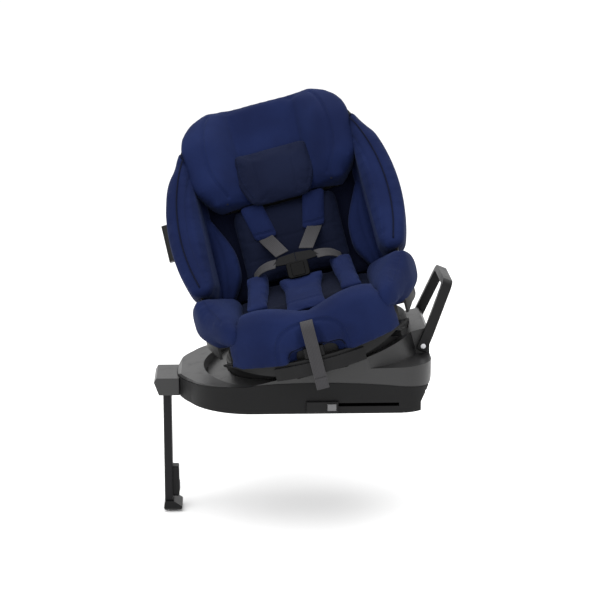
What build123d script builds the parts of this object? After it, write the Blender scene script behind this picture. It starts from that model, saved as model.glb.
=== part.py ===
from build123d import *
import os
from math import cos, radians, sin

# Rotating child car seat on a base with a support leg, an anti-rebound bar and two ISOFIX arms.
# Millimetres, +Z up. -X is the leg end of the base, which points to the front of the car, and +X is the
# end that meets the vehicle's backrest. The origin is on the base's underside, on its centre plane.
# At rest the seat is turned to the door, so that the child looks along -Y.

# ---- Driving dimensions ----

# Base housing
base_half_width = 186
base_front = 253
base_rear = 258
nose_half_width = 105
nose_bulge = 31
front_corner_length = 122
front_corner_bulge = 21.5
rear_corner_radius = 70
rear_undercut = 24
base_wall = 3.5
plate_edge_height = 38
plate_height = 51
plate_slope = 0.045
seam_nose_height = 37
seam_crown_height = 62
seam_rear_height = 45
seam_crown_x = 70
seam_groove = 1.6

# Swivel axis, which leans back with the turntable
swivel_x = 41
swivel_z = 75.5
tilt = 14.3
deck_height = 17
recess_margin = 18
boss_radius = 207
shoulder_height = 90
turntable_gap = 3
well_floor = 9
bearing_height = 5
turntable_top = 40
post_radius = 28
post_clearance = 0.08
post_flange = 20
retainer_thickness = 3.5
bearing_radius = 150
bearing_width = 24
free_gap = 0.3

# Recline: the seat's two rails turn on a circle about this height over the swivel plane
recline_centre = 180
rail_radius = 155
rail_spacing = 200
rail_width = 14
rail_inner = (rail_spacing - rail_width) / 2
rail_outer = (rail_spacing + rail_width) / 2
groove_play = 4
guide_play = 3
guide_thickness = 5
guide_angle = 33

# Seat shell, in the seat's own frame: u to the child's left, v to the front, w up the swivel axis
shell_radius = 220
shell_wall = 4
turntable_clearance = 26
turntable_radius = shell_radius - shell_wall - turntable_clearance
recess_radius = shell_radius + recess_margin
shell_rear = 132
shell_rim = 22
shell_step_height = 52
roll_depth = 17
skirt_top = 104
pan_top = 88
side_lip = 74
rear_corner = 50

# Backrest: it leans back from the bight, where it meets the seat cushion
bight_depth = 100
bight_height = 110
back_lean = 27
back_length = 366
back_bottom_half_width = 205
back_half_width = 225
back_shoulder_height = 195
back_top_half_width = 172
back_top_height = 345
back_thickness = 28
wing_front_bottom = 156
wing_front_middle = 128
wing_front_top = 98
wing_inner = 178
rear_housing_depth = 46
cover_wrap = 14

# Soft parts
pad_gap = 0.5
bolster_width = 76.5
roll_reach = 92
cushion_half_width = shell_radius - shell_wall - pad_gap - bolster_width
cushion_front = shell_radius - roll_reach
cushion_height = 122
backrest_pad_thickness = 21
insert_half_width = 115
insert_thickness = 28
insert_top = 196
side_pad_width = 52
side_pad_depth = 40
bolster_tip_height = 168
bolster_front = 150
roll_height = 147
roll_thickness = 9

# Headrest
headrest_half_width = 172
headrest_bottom = 200
headrest_top = 412
headrest_plate = 5
headrest_pad_depth = 34
headrest_wing_depth = 100
headrest_wing_width = 36
pillow_half_width = 83
pillow_bottom = 187
pillow_top = 303
pillow_thickness = 22
neck_half_width = 26
neck_low = 168
neck_high = 196
headrest_travel = 150

# Harness
buckle_lean = 30
buckle_width = 46
buckle_length = 34
buckle_depth = 18
button_size = 28
button_travel = 4
strap_thickness = 1.6
shoulder_strap_width = 30
adjuster_strap_width = 25
adjuster_strap_top = 120
adjuster_strap_break = 24
adjuster_strap_end = -8
adjuster_strap_offset = -6
pad_top = 196
pad_bottom = 117
shoulder_pad_width = 50
shoulder_pad_thickness = 12

# Support leg
leg_x = -273.5
leg_pivot_z = 22
leg_width = 46
leg_depth = 17
leg_tube_end = -236
leg_wall = 2
foot_length = 36
foot_width = 58
foot_height = 19
leg_pin_radius = 4
bracket_half_width = 52
bracket_front = 299
bracket_height = 36

# ISOFIX arms, whose spacing is the standard 280 mm
isofix_spacing = 280
isofix_height = 24
arm_width = 28
arm_height = 16
arm_wall = 2.5
arm_play = 0.5
guide_front = -45
guide_length = 225
connector_width = 34
connector_height = 26
connector_length = 45
jaw_height = 9
jaw_depth = 22
hook_thickness = 6
isofix_travel = 120
slider_front = 6
slider_length = 63
slider_height = 22
slider_thickness = 6
stem_length = 20
stem_height = 4
release_travel = 2.5

# Anti-rebound bar
tower_half_width = 84
bar_pivot_x = 244
bar_pivot_z = 112
bar_width = 20
bar_thickness = 10.5
bar_side_gap = 4.5
bar_top_half = 72
bar_length = 138
bar_foot = 12
bar_knee = 25
bar_lean = 22
bar_pin_radius = 5

# ---- Frames ----

seat_frame = Plane(
    origin=(swivel_x, 0, swivel_z),
    x_dir=(cos(radians(tilt)), 0, sin(radians(tilt))),
    z_dir=(-sin(radians(tilt)), 0, cos(radians(tilt))),
)


def placed(frame, plane):
    """A plane given in a frame's own coordinates."""
    return Plane(frame.location * plane.location)


def leaning(depth, height, lean):
    """A plane in the seat that leans back from the swivel axis: x is u, y runs up the lean."""
    normal = (0, -cos(radians(lean)), sin(radians(lean)))
    return placed(seat_frame, Plane(origin=(0, -depth, height), x_dir=(1, 0, 0), z_dir=normal))


seat_front = placed(seat_frame, Plane.XZ)
seat_side = placed(seat_frame, Plane(origin=(0, 0, 0), x_dir=(0, -1, 0), z_dir=(-1, 0, 0)))
back_frame = leaning(-bight_depth, bight_height, back_lean)
back_side = placed(back_frame, Plane.YZ)
buckle_frame = leaning(5, 160, buckle_lean)


# ---- Outlines and small helpers ----

def outline(plane, *points):
    """A closed outline with straight sides."""
    with BuildSketch(plane) as drawn:
        with BuildLine():
            Polyline(*points, close=True)
        make_face()
    return drawn.sketch


def rounded_outline(plane, radius, *points):
    """A closed outline whose corners are all rounded."""
    with BuildSketch(plane) as drawn:
        with BuildLine():
            FilletPolyline(*points, radius=radius, close=True)
        make_face()
    return drawn.sketch


def box_outline(plane, low_x, high_x, low_y, high_y, radius=0):
    """A rectangle between two corners, rounded if a radius is given."""
    width = high_x - low_x
    height = high_y - low_y
    middle = ((low_x + high_x) / 2, (low_y + high_y) / 2)
    with BuildSketch(plane) as drawn:
        with Locations(middle):
            if radius:
                RectangleRounded(width, height, radius)
            else:
                Rectangle(width, height)
    return drawn.sketch


def disc(plane, radius, hole=0):
    """A disc, or a ring if it has a hole, at a plane's origin."""
    with BuildSketch(plane) as drawn:
        Circle(radius)
        if hole:
            Circle(hole, mode=Mode.SUBTRACT)
    return drawn.sketch


def webbing(start, end, width, thickness):
    """A straight run of webbing between two points of the seat, given as u, v and w."""
    start_point = seat_frame.from_local_coords((start[0], -start[1], start[2]))
    end_point = seat_frame.from_local_coords((end[0], -end[1], end[2]))
    run = end_point - start_point
    with BuildPart() as strap:
        with BuildSketch(Plane(origin=start_point, x_dir=seat_frame.x_dir, z_dir=run)):
            Rectangle(width, thickness)
        extrude(amount=run.length)
    return strap.part


def base_plan(plane, inset):
    """The base's outline seen from above, moved inwards by an inset."""
    nose_x = nose_bulge - base_front
    corner_x = nose_x + front_corner_length
    with BuildSketch(plane) as drawn:
        with BuildLine():
            ThreePointArc((nose_x, nose_half_width), (-base_front, 0), (nose_x, -nose_half_width))
            SagittaArc((nose_x, -nose_half_width), (corner_x, -base_half_width), -front_corner_bulge)
            Line((corner_x, -base_half_width), (base_rear - rear_corner_radius, -base_half_width))
            JernArc(
                (base_rear - rear_corner_radius, -base_half_width), (1, 0), rear_corner_radius, 90
            )
            Line(
                (base_rear, rear_corner_radius - base_half_width),
                (base_rear, base_half_width - rear_corner_radius),
            )
            JernArc(
                (base_rear, base_half_width - rear_corner_radius), (0, 1), rear_corner_radius, 90
            )
            Line((base_rear - rear_corner_radius, base_half_width), (corner_x, base_half_width))
            SagittaArc((corner_x, base_half_width), (nose_x, nose_half_width), -front_corner_bulge)
        make_face()
        if inset:
            offset(amount=-inset)
    return drawn.sketch


def tilted_z(x, height):
    """The height above the floor of a plane of the turntable, at a place along the base."""
    slope = sin(radians(tilt)) / cos(radians(tilt))
    return swivel_z + (x - swivel_x) * slope + height / cos(radians(tilt))


def base_body(inset):
    """The base's whole outer shape, moved inwards by an inset, with the seat's recess cut in it."""
    reach = base_front + base_rear
    deck = deck_height - inset
    plate = plate_height - inset
    rear = base_rear - inset
    foot = rear - rear_undercut
    shoulder = shoulder_height - inset
    with BuildPart() as sides:
        plate_points = [
            (-base_front, 0),
            (-base_front, plate_edge_height - inset),
            (-base_front + 10, plate - 2),
            (swivel_x, plate - 2 + plate_slope * (swivel_x + base_front)),
            (swivel_x, 0),
        ]
        deck_points = [
            (-base_front, 0),
            (-base_front, tilted_z(-base_front, deck)),
            (rear - 8, tilted_z(rear - 8, deck)),
            (rear, tilted_z(rear, deck) - 12),
            (rear, 60),
            (foot, 18),
            (foot, 0),
        ]
        extrude(outline(Plane.XZ, *plate_points), amount=base_half_width, both=True)
        extrude(outline(Plane.XZ, *deck_points), amount=base_half_width, both=True)
    with BuildPart() as corners:
        corner_points = [
            (swivel_x, shoulder),
            (base_rear + 1, shoulder + 4),
            (base_rear + 1, reach),
            (swivel_x, reach),
        ]
        extrude(outline(Plane.XZ, *corner_points), amount=base_half_width + 1, both=True)
        extrude(
            box_outline(Plane.XY, 0, reach, inset - tower_half_width, tower_half_width - inset),
            amount=reach,
            mode=Mode.SUBTRACT,
        )
        extrude(disc(seat_frame, boss_radius - inset), amount=reach / 2, both=True, mode=Mode.SUBTRACT)
    with BuildPart() as body:
        extrude(base_plan(Plane.XY, inset), amount=reach / 2)
        add(sides.part, mode=Mode.INTERSECT)
        add(corners.part, mode=Mode.SUBTRACT)
        recess = placed(seat_frame, Plane.XY.offset(deck))
        well = placed(seat_frame, Plane.XY.offset(well_floor - inset))
        extrude(disc(recess, recess_radius + inset), amount=reach / 2, mode=Mode.SUBTRACT)
        extrude(
            disc(well, turntable_radius + turntable_gap + inset),
            amount=deck_height,
            mode=Mode.SUBTRACT,
        )
    return body.part


def seat_plan(plane, inset):
    """The seat shell seen along the swivel axis: a round front, straight sides and a rounded rear."""
    radius = shell_radius - inset
    depth = shell_rear - inset
    with BuildSketch(plane) as drawn:
        Circle(radius)
        with Locations((0, shell_radius / 2)):
            Rectangle(2 * shell_radius, shell_radius, mode=Mode.SUBTRACT)
        with Locations((0, depth / 2)):
            Rectangle(2 * radius, depth)
        fillet(drawn.vertices().group_by(Axis.Y)[-1], rear_corner - inset)
    return drawn.sketch


def back_outline(plane, inset):
    """The backrest seen from the child's side: it widens to the shoulders and rounds over at the top."""
    with BuildSketch(plane) as drawn:
        with BuildLine():
            Line((-back_bottom_half_width, 0), (back_bottom_half_width, 0))
            ThreePointArc(
                (back_bottom_half_width, 0),
                (back_half_width, back_shoulder_height),
                (back_top_half_width, back_top_height),
            )
            ThreePointArc(
                (back_top_half_width, back_top_height),
                (0, back_length),
                (-back_top_half_width, back_top_height),
            )
            ThreePointArc(
                (-back_top_half_width, back_top_height),
                (-back_half_width, back_shoulder_height),
                (-back_bottom_half_width, 0),
            )
        make_face()
        fillet(drawn.vertices().group_by(Axis.Y)[-1], 24)
        if inset:
            offset(amount=-inset)
    return drawn.sketch


def headrest_outline(plane, inset):
    """The headrest seen from the child's side: wide at the temples and rounded at the top."""
    half_top = 0.68 * headrest_half_width
    half_bottom = 0.8 * headrest_half_width
    with BuildSketch(plane) as drawn:
        with BuildLine():
            FilletPolyline(
                (-half_bottom, headrest_bottom),
                (half_bottom, headrest_bottom),
                (headrest_half_width, headrest_bottom + 60),
                (headrest_half_width, headrest_top - 62),
                (half_top, headrest_top),
                (-half_top, headrest_top),
                (-headrest_half_width, headrest_top - 62),
                (-headrest_half_width, headrest_bottom + 60),
                radius=34,
                close=True,
            )
        make_face()
        if inset:
            offset(amount=-inset)
    return drawn.sketch


def headrest_side(plane, inset):
    """The headrest seen from the side: its wings reach forwards beside the head."""
    return rounded_outline(
        plane,
        [1, 20, 30, 30, 20, 1],
        (headrest_bottom - 60, -60),
        (headrest_bottom - 60, 60 - inset),
        (headrest_bottom + 30, headrest_wing_depth - inset),
        (headrest_top - 80, headrest_wing_depth - inset),
        (headrest_top + 1, 45 - inset),
        (headrest_top + 1, -60),
    )


def wing_side(plane, inset, setback=0):
    """The backrest and its wings seen from the side, as length up the back and depth to the front.

    It starts a little under the back's own outline, which ends the back at the bottom. The setback
    moves only the front edge, so that the cover can wrap round it.
    """
    bottom = inset - 1
    return rounded_outline(
        plane,
        [1, 12, 60, 30, 40],
        (bottom, -back_thickness - 1),
        (bottom, wing_front_bottom - inset - setback),
        (back_shoulder_height - 40, wing_front_middle - inset - setback),
        (back_top_height + 8 - inset, wing_front_top - inset - setback),
        (back_length + 4 - inset, -back_thickness - 1),
    )


def export(part, label):
    """Label a finished piece and write it."""
    part.label = label
    export_step(part, f"parts/{label}.step")


os.makedirs("parts", exist_ok=True)

# ---- Base housing ----

base_reach = base_front + base_rear
base_hull = base_body(0)
base_hollow = base_body(base_wall)
inner_plan = base_plan(Plane.XY.offset(base_wall), base_wall)

# The leg's head sits in a notch in the nose, and the folded leg lies in a channel under the tray.
bracket_rear = base_front - 7
channel_half = foot_width / 2 + 2
channel_end = leg_x + leg_pivot_z - leg_tube_end + foot_height + 12
channel_low = tilted_z(-140, well_floor - base_wall) - 0.5
channel_high = leg_pivot_z + foot_length + 2
channel_rise = swivel_x - (swivel_z - channel_high) * cos(radians(tilt)) / sin(radians(tilt)) - 20


def leg_channel(margin):
    """The space under the tray that takes the folded leg, grown by a margin."""
    with BuildPart() as channel:
        points = [
            (-base_front - 1, -1),
            (-base_front - 1, channel_low - 1.5 + margin),
            (-140, channel_low - 1.5 + margin),
            (channel_rise, channel_high - 1.5 + margin),
            (channel_end + margin, channel_high - 1.5 + margin),
            (channel_end + margin, -1),
        ]
        extrude(outline(Plane.XZ, *points), amount=channel_half + margin, both=True)
    return channel.part


with BuildPart() as bracket_notch:
    extrude(
        box_outline(
            Plane.XY,
            -bracket_front,
            -bracket_rear,
            -bracket_half_width - free_gap,
            bracket_half_width + free_gap,
        ),
        amount=bracket_height + free_gap,
    )

with BuildPart() as below_seam:
    with BuildSketch(Plane.XZ):
        with BuildLine():
            ThreePointArc(
                (-base_front - 5, seam_nose_height),
                (seam_crown_x, seam_crown_height),
                (base_rear + 5, seam_rear_height),
            )
            Polyline(
                (base_rear + 5, seam_rear_height),
                (base_rear + 5, -5),
                (-base_front - 5, -5),
                (-base_front - 5, seam_nose_height),
            )
        make_face()
    extrude(amount=base_half_width + 5, both=True)

# Places of the ISOFIX arms: left is -Y, the side of the car the seat's nose calls left.
guide_rear = guide_front + guide_length
connector_rear = guide_rear + connector_length + 5
stem_front = slider_front + slider_length - stem_length - 4
slot_rear = stem_front + stem_length + isofix_travel + 4
slot_floor = isofix_height - arm_height / 2 - 1.5
slot_roof = isofix_height - arm_height / 2 + stem_height + 1.5
isofix_sides = [("left", -1), ("right", 1)]


def side_span(side, inner, outer):
    """A span across the base, on one side, as its lowest and highest Y."""
    return min(side * inner, side * outer), max(side * inner, side * outer)


with BuildPart() as isofix_cuts:
    for name, side in isofix_sides:
        low_y, high_y = side_span(side, isofix_spacing / 2 - 19, isofix_spacing / 2 + 19)
        extrude(
            box_outline(Plane.XY.offset(isofix_height - 14), guide_rear, base_rear + 5, low_y, high_y),
            amount=28,
        )
        low_y, high_y = side_span(side, base_half_width - base_wall - 3, base_half_width + 3)
        extrude(
            box_outline(Plane.XY.offset(slot_floor), stem_front - 4, slot_rear, low_y, high_y),
            amount=slot_roof - slot_floor,
        )

with BuildPart() as base_tray:
    add(base_hull)
    add(below_seam.part, mode=Mode.INTERSECT)
    extrude(inner_plan, amount=base_reach / 2, mode=Mode.SUBTRACT)
    with BuildPart(mode=Mode.PRIVATE) as channel_walls:
        add(leg_channel(1.4))
        extrude(inner_plan, amount=base_reach / 2, mode=Mode.INTERSECT)
    add(channel_walls.part)
    add(leg_channel(0), mode=Mode.SUBTRACT)
    add(bracket_notch.part, mode=Mode.SUBTRACT)
    add(isofix_cuts.part, mode=Mode.SUBTRACT)
export(base_tray.part, "base_tray")

# The cover: the top skin, the recess that the seat turns in and the well of the turntable.
with BuildPart() as seam_band:
    extrude(base_plan(Plane.XY, 0), amount=base_reach / 2)
    extrude(base_plan(Plane.XY, seam_groove), amount=base_reach / 2, mode=Mode.SUBTRACT)
    add(below_seam.part.moved(Location((0, 0, 2.5))), mode=Mode.INTERSECT)
with BuildPart() as base_cover:
    add(base_hull)
    with BuildPart(mode=Mode.PRIVATE) as hollow:
        add(base_hollow)
        with BuildPart(mode=Mode.PRIVATE) as skirt:
            extrude(base_plan(Plane.XY, 0), amount=base_reach / 2)
            add(below_seam.part, mode=Mode.INTERSECT)
            extrude(base_plan(Plane.XY, base_wall), amount=base_reach / 2, mode=Mode.SUBTRACT)
        add(skirt.part)
        extrude(base_plan(Plane.XY, 0), amount=base_wall)
    add(hollow.part, mode=Mode.SUBTRACT)
    add(seam_band.part, mode=Mode.SUBTRACT)
    add(leg_channel(1.4), mode=Mode.SUBTRACT)
    add(bracket_notch.part, mode=Mode.SUBTRACT)
    add(isofix_cuts.part, mode=Mode.SUBTRACT)
    extrude(disc(seat_frame, post_radius), amount=deck_height, mode=Mode.SUBTRACT)
export(base_cover.part, "base_cover")

# ---- Swivel bearing ----

turntable_floor = well_floor + bearing_height + free_gap
retainer_floor = turntable_floor + 10

with BuildPart() as swivel_post:
    below_floor = placed(seat_frame, Plane.XY.offset(well_floor - base_wall - 5))
    extrude(disc(below_floor, post_radius + post_flange), amount=5)
    extrude(disc(below_floor, post_radius), amount=retainer_floor + free_gap - well_floor + base_wall + 5)
    retainer = placed(seat_frame, Plane.XY.offset(retainer_floor + free_gap))
    extrude(disc(retainer, post_radius + post_flange - 4), amount=retainer_thickness)
export(swivel_post.part, "swivel_post")

with BuildPart() as swivel_bearing_ring:
    well = placed(seat_frame, Plane.XY.offset(well_floor))
    bearing = disc(well, bearing_radius + bearing_width / 2, bearing_radius - bearing_width / 2)
    extrude(bearing, amount=bearing_height)
export(swivel_bearing_ring.part, "swivel_bearing_ring")

# ---- Turntable ----

guide_outer = rail_radius + free_gap + guide_thickness
release_angle = 55
release_radius = 176
release_width = 24
release_low = 26
release_high = 38
release_dir = (sin(radians(release_angle)), -cos(radians(release_angle)), 0)
release_across = (-release_dir[1], release_dir[0], 0)
release_plane = placed(seat_frame, Plane(origin=(0, 0, 0), x_dir=release_across, z_dir=release_dir))

with BuildPart() as turntable:
    floor = placed(seat_frame, Plane.XY.offset(turntable_floor))
    plate = disc(floor, turntable_radius, post_radius + post_clearance)
    extrude(plate, amount=turntable_top - turntable_floor)
    chamfer(turntable.edges().filter_by(GeomType.CIRCLE).sort_by(SortBy.RADIUS)[-1], 3)
    counterbore = placed(seat_frame, Plane.XY.offset(retainer_floor))
    extrude(disc(counterbore, post_radius + post_flange), amount=turntable_top, mode=Mode.SUBTRACT)
    for side in (-1, 1):
        low_u, high_u = side_span(side, rail_inner - groove_play, rail_outer + groove_play)
        with BuildPart(mode=Mode.PRIVATE) as groove:
            with BuildSketch(seat_side.offset(-low_u)):
                with Locations((0, recline_centre)):
                    Circle(guide_outer + free_gap)
            extrude(amount=low_u - high_u)
        add(groove.part, mode=Mode.SUBTRACT)
    extrude(
        box_outline(
            release_plane.offset(release_radius),
            -release_width / 2 - free_gap,
            release_width / 2 + free_gap,
            release_low - free_gap,
            release_high + free_gap,
        ),
        amount=40,
        mode=Mode.SUBTRACT,
    )
export(turntable.part, "turntable")

# The guides: two curved steel tracks in the turntable's grooves, which the seat's rails slide along.
with BuildPart() as recline_guides:
    for side in (-1, 1):
        low_u, high_u = side_span(side, rail_inner - guide_play, rail_outer + guide_play)
        with BuildSketch(seat_side.offset(-low_u)):
            with Locations((0, recline_centre)):
                Circle(guide_outer)
                Circle(rail_radius + free_gap, mode=Mode.SUBTRACT)
                reach = 2 * guide_outer
                half = reach * sin(radians(guide_angle)) / cos(radians(guide_angle))
                Polygon((0, 0), (-half, -reach), (half, -reach), align=None, mode=Mode.INTERSECT)
        extrude(amount=low_u - high_u)
export(recline_guides.part, "recline_guides")

with BuildPart() as swivel_release_lever:
    extrude(
        box_outline(
            release_plane.offset(release_radius + 7),
            -release_width / 2,
            release_width / 2,
            release_low,
            release_high,
            3,
        ),
        amount=31,
    )
export(swivel_release_lever.part, "swivel_release_lever")

# ---- Seat shell ----

def bight_line(depth, gap):
    """The height of the joint between seat and backrest at a depth, lowered by a gap."""
    slope = sin(radians(back_lean)) / cos(radians(back_lean))
    return bight_height + (depth + bight_depth) * slope - gap / cos(radians(back_lean))


lip_outer = shell_radius - roll_depth
lip_inner = lip_outer - shell_wall
lip_front = shell_radius - 115
lever_half_angle = 23.5
lever_low = shell_rim - 2
lever_high = shell_step_height - 6
lever_arm = 60
lever_arm_end = -turntable_radius - 5

with BuildPart() as front_lip:
    ledge = placed(seat_frame, Plane.XY.offset(shell_step_height - shell_wall))
    extrude(disc(ledge, shell_radius - shell_wall / 2, lip_inner), amount=shell_wall)
    extrude(disc(ledge, lip_outer, lip_inner), amount=skirt_top - shell_step_height + shell_wall)
    extrude(
        box_outline(seat_frame, -shell_radius, shell_radius, -lip_front, shell_radius),
        amount=2 * skirt_top,
        mode=Mode.SUBTRACT,
    )

with BuildPart() as seat_shell:
    extrude(seat_plan(seat_frame, 0), amount=shell_radius)
    shell_points = [
        (shell_radius + 1, shell_rim),
        (75, side_lip),
        (-60, side_lip + 2),
        (-shell_rear, pan_top),
        (-shell_rear, bight_line(-shell_rear, pad_gap)),
        (22, bight_line(22, cover_wrap)),
        (62, bolster_tip_height - 2 * cover_wrap),
        (110, 112),
        (150, skirt_top + 2),
        (shell_radius + 1, skirt_top),
    ]
    extrude(outline(seat_side, *shell_points), amount=shell_radius, both=True, mode=Mode.INTERSECT)
    top_inside = placed(seat_frame, Plane.XY.offset(pan_top))
    extrude(seat_plan(top_inside, shell_wall), amount=shell_radius, mode=Mode.SUBTRACT)
    extrude(seat_plan(seat_frame, shell_wall), amount=pan_top - shell_wall, mode=Mode.SUBTRACT)
    with BuildPart(mode=Mode.PRIVATE) as outside_lip:
        step = placed(seat_frame, Plane.XY.offset(shell_step_height))
        extrude(disc(step, shell_radius + 5, lip_outer), amount=shell_radius)
        extrude(
            box_outline(seat_frame, -shell_radius, shell_radius, -lip_front, shell_radius),
            amount=2 * shell_radius,
            mode=Mode.SUBTRACT,
        )
    add(outside_lip.part, mode=Mode.SUBTRACT)
    add(front_lip.part)
    for side in (-1, 1):
        low_u, high_u = side_span(side, lever_arm - 6, lever_arm + 6)
        arm_slot = placed(seat_frame, Plane.XY.offset(lever_low + 8))
        extrude(
            box_outline(arm_slot, low_u, high_u, -shell_radius - 5, lever_arm_end + 5),
            amount=lever_high - lever_low - 14,
            mode=Mode.SUBTRACT,
        )
    extrude(
        box_outline(top_inside.offset(-shell_wall - 1), -20.5, 20.5, -10.5, -5.5),
        amount=shell_wall + 2,
        mode=Mode.SUBTRACT,
    )
export(seat_shell.part, "seat_shell")

with BuildPart() as recline_rails:
    for side in (-1, 1):
        low_u, high_u = side_span(side, rail_inner, rail_outer)
        with BuildSketch(seat_side.offset(-low_u)):
            with Locations((0, recline_centre)):
                Circle(rail_radius)
            with Locations((0, recline_centre + pan_top - shell_wall)):
                Rectangle(3 * rail_radius, 2 * recline_centre, mode=Mode.SUBTRACT)
        extrude(amount=low_u - high_u)
export(recline_rails.part, "recline_rails")

with BuildPart() as recline_lever:
    low_lever = placed(seat_frame, Plane.XY.offset(lever_low))
    extrude(disc(low_lever, shell_radius + 6, shell_radius + 0.6), amount=lever_high - lever_low)
    reach = 2 * shell_radius
    half = reach * sin(radians(lever_half_angle)) / cos(radians(lever_half_angle))
    extrude(outline(low_lever, (0, 0), (-half, -reach), (half, -reach)), amount=reach, mode=Mode.INTERSECT)
    fillet(recline_lever.edges().filter_by(GeomType.CIRCLE).group_by(SortBy.RADIUS)[-1], 2)
    for side in (-1, 1):
        low_u, high_u = side_span(side, lever_arm - 5, lever_arm + 5)
        arms = placed(seat_frame, Plane.XY.offset(lever_low + 9))
        lever_arms = box_outline(arms, low_u, high_u, -shell_radius + 5, lever_arm_end)
        extrude(lever_arms, amount=lever_high - lever_low - 16)
export(recline_lever.part, "recline_lever")

# ---- Back shell and what it carries ----

slot_top = neck_high + headrest_travel + 6
pad_front = shell_wall + pad_gap - back_thickness + backrest_pad_thickness
wing_low = 122
wing_high = 202
wing_pivot_u = -back_half_width - 13
wing_pivot_n = 30
wing_pin_radius = 2.5
ear_spans = [(wing_low - 10, wing_low - 2), (wing_high + 2, wing_high + 10)]

with BuildPart() as back_shell:
    extrude(back_outline(back_frame.offset(-back_thickness), 0), amount=2 * wing_front_bottom)
    extrude(wing_side(back_side, 0, cover_wrap), amount=back_half_width + 10, both=True, mode=Mode.INTERSECT)
    for low_s, high_s in ear_spans:
        ear_plane = placed(back_frame, Plane.XZ.offset(-high_s))
        ear_middle = (wing_pivot_u - back_half_width + 10) / 2
        with BuildSketch(ear_plane):
            with Locations((ear_middle, wing_pivot_n)):
                Rectangle(2 * (ear_middle - wing_pivot_u), 14)
            with Locations((wing_pivot_u, wing_pivot_n)):
                Circle(7)
                Circle(wing_pin_radius + post_clearance, mode=Mode.SUBTRACT)
        extrude(amount=high_s - low_s)
    inside = back_frame.offset(shell_wall - back_thickness)
    extrude(back_outline(inside, shell_wall), amount=2 * wing_front_bottom, mode=Mode.SUBTRACT)
    foot_half = back_bottom_half_width - shell_wall
    extrude(
        box_outline(inside, -foot_half, foot_half, -1, shell_wall + 20),
        amount=2 * wing_front_bottom,
        mode=Mode.SUBTRACT,
    )
    slot_half = neck_half_width + 2
    extrude(
        box_outline(back_frame.offset(-60), -slot_half, slot_half, neck_low - 6, slot_top),
        amount=60,
        mode=Mode.SUBTRACT,
    )
    top_half = wing_inner - 2
    above_pad = back_frame.offset(pad_front - pad_gap)
    extrude(
        box_outline(above_pad, -top_half, top_half, back_top_height - 60, back_length + 5),
        amount=2 * wing_front_bottom,
        mode=Mode.SUBTRACT,
    )
export(back_shell.part, "back_shell")

with BuildPart() as impact_wing:
    wing_plane = placed(back_frame, Plane.XZ.offset(-wing_high))
    with BuildSketch(wing_plane):
        with Locations((wing_pivot_u - 8.5, wing_pivot_n)):
            RectangleRounded(29, 12, 5.5)
    extrude(amount=wing_high - wing_low)
    with BuildSketch(placed(back_frame, Plane.XZ.offset(-ear_spans[1][1]))):
        with Locations((wing_pivot_u, wing_pivot_n)):
            Circle(wing_pin_radius)
    extrude(amount=ear_spans[1][1] - ear_spans[0][0])
export(impact_wing.part, "impact_wing")

back_axis = Axis(back_frame.origin, back_frame.z_dir)

# The rear housing: it covers the headrest's guide and the ends of the harness.
with BuildPart() as rear_housing:
    extrude(back_outline(back_frame.offset(-back_thickness - free_gap), 12), amount=-rear_housing_depth)
    extrude(
        box_outline(back_frame, -back_half_width, back_half_width, -5, 18),
        amount=-100,
        mode=Mode.SUBTRACT,
    )
    fillet(rear_housing.faces().sort_by(back_axis)[0].edges(), 20)
    with BuildPart(mode=Mode.PRIVATE) as housing_hollow:
        extrude(back_outline(back_frame.offset(-back_thickness), 15.5), amount=3.5 - rear_housing_depth)
        extrude(
            box_outline(back_frame, -back_half_width, back_half_width, -5, 21.5),
            amount=-100,
            mode=Mode.SUBTRACT,
        )
        fillet(housing_hollow.faces().sort_by(back_axis)[0].edges(), 16.5)
    add(housing_hollow.part, mode=Mode.SUBTRACT)
export(rear_housing.part, "rear_housing")

with BuildPart() as headrest_guide:
    for side in (-1, 1):
        low_u, high_u = side_span(side, neck_half_width + 16, neck_half_width + 22)
        rails = back_frame.offset(-back_thickness - free_gap)
        extrude(box_outline(rails, low_u, high_u, neck_low - 6, neck_high + headrest_travel - 4), amount=-18)
export(headrest_guide.part, "headrest_guide")

# The yoke joins the two shoulder straps behind the back shell.
with BuildPart() as harness_yoke:
    yoke_plane = back_frame.offset(-back_thickness - 12)
    extrude(
        rounded_outline(yoke_plane, 6, (-60, 60), (60, 60), (60, 76), (12, 90), (-12, 90), (-60, 76)),
        amount=3,
    )
export(harness_yoke.part, "harness_yoke")

# ---- Soft parts of the seat ----

swivel_axis = Axis(seat_frame.origin, seat_frame.z_dir)
crotch_slot = (-20.5, 20.5, -10.5, -5.5)
pan = pan_top + pad_gap
roll_front = shell_radius + roll_thickness
roll_rear = cushion_front + 3
corner_v = bolster_front + 1
recess_half = 58
recess_roof = 76

with BuildPart() as seat_cushion:
    cushion_points = [
        (cushion_front, pan),
        (cushion_front, cushion_height + 2),
        (-70, cushion_height - 6),
        (-95, cushion_height - 14),
        (-shell_rear + 14, pan + 4),
        (-shell_rear + 14, pan),
    ]
    extrude(outline(seat_side, *cushion_points), amount=cushion_half_width, both=True)
    extrude(box_outline(seat_frame, *crotch_slot), amount=shell_radius, mode=Mode.SUBTRACT)
export(seat_cushion.part, "seat_cushion")

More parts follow.
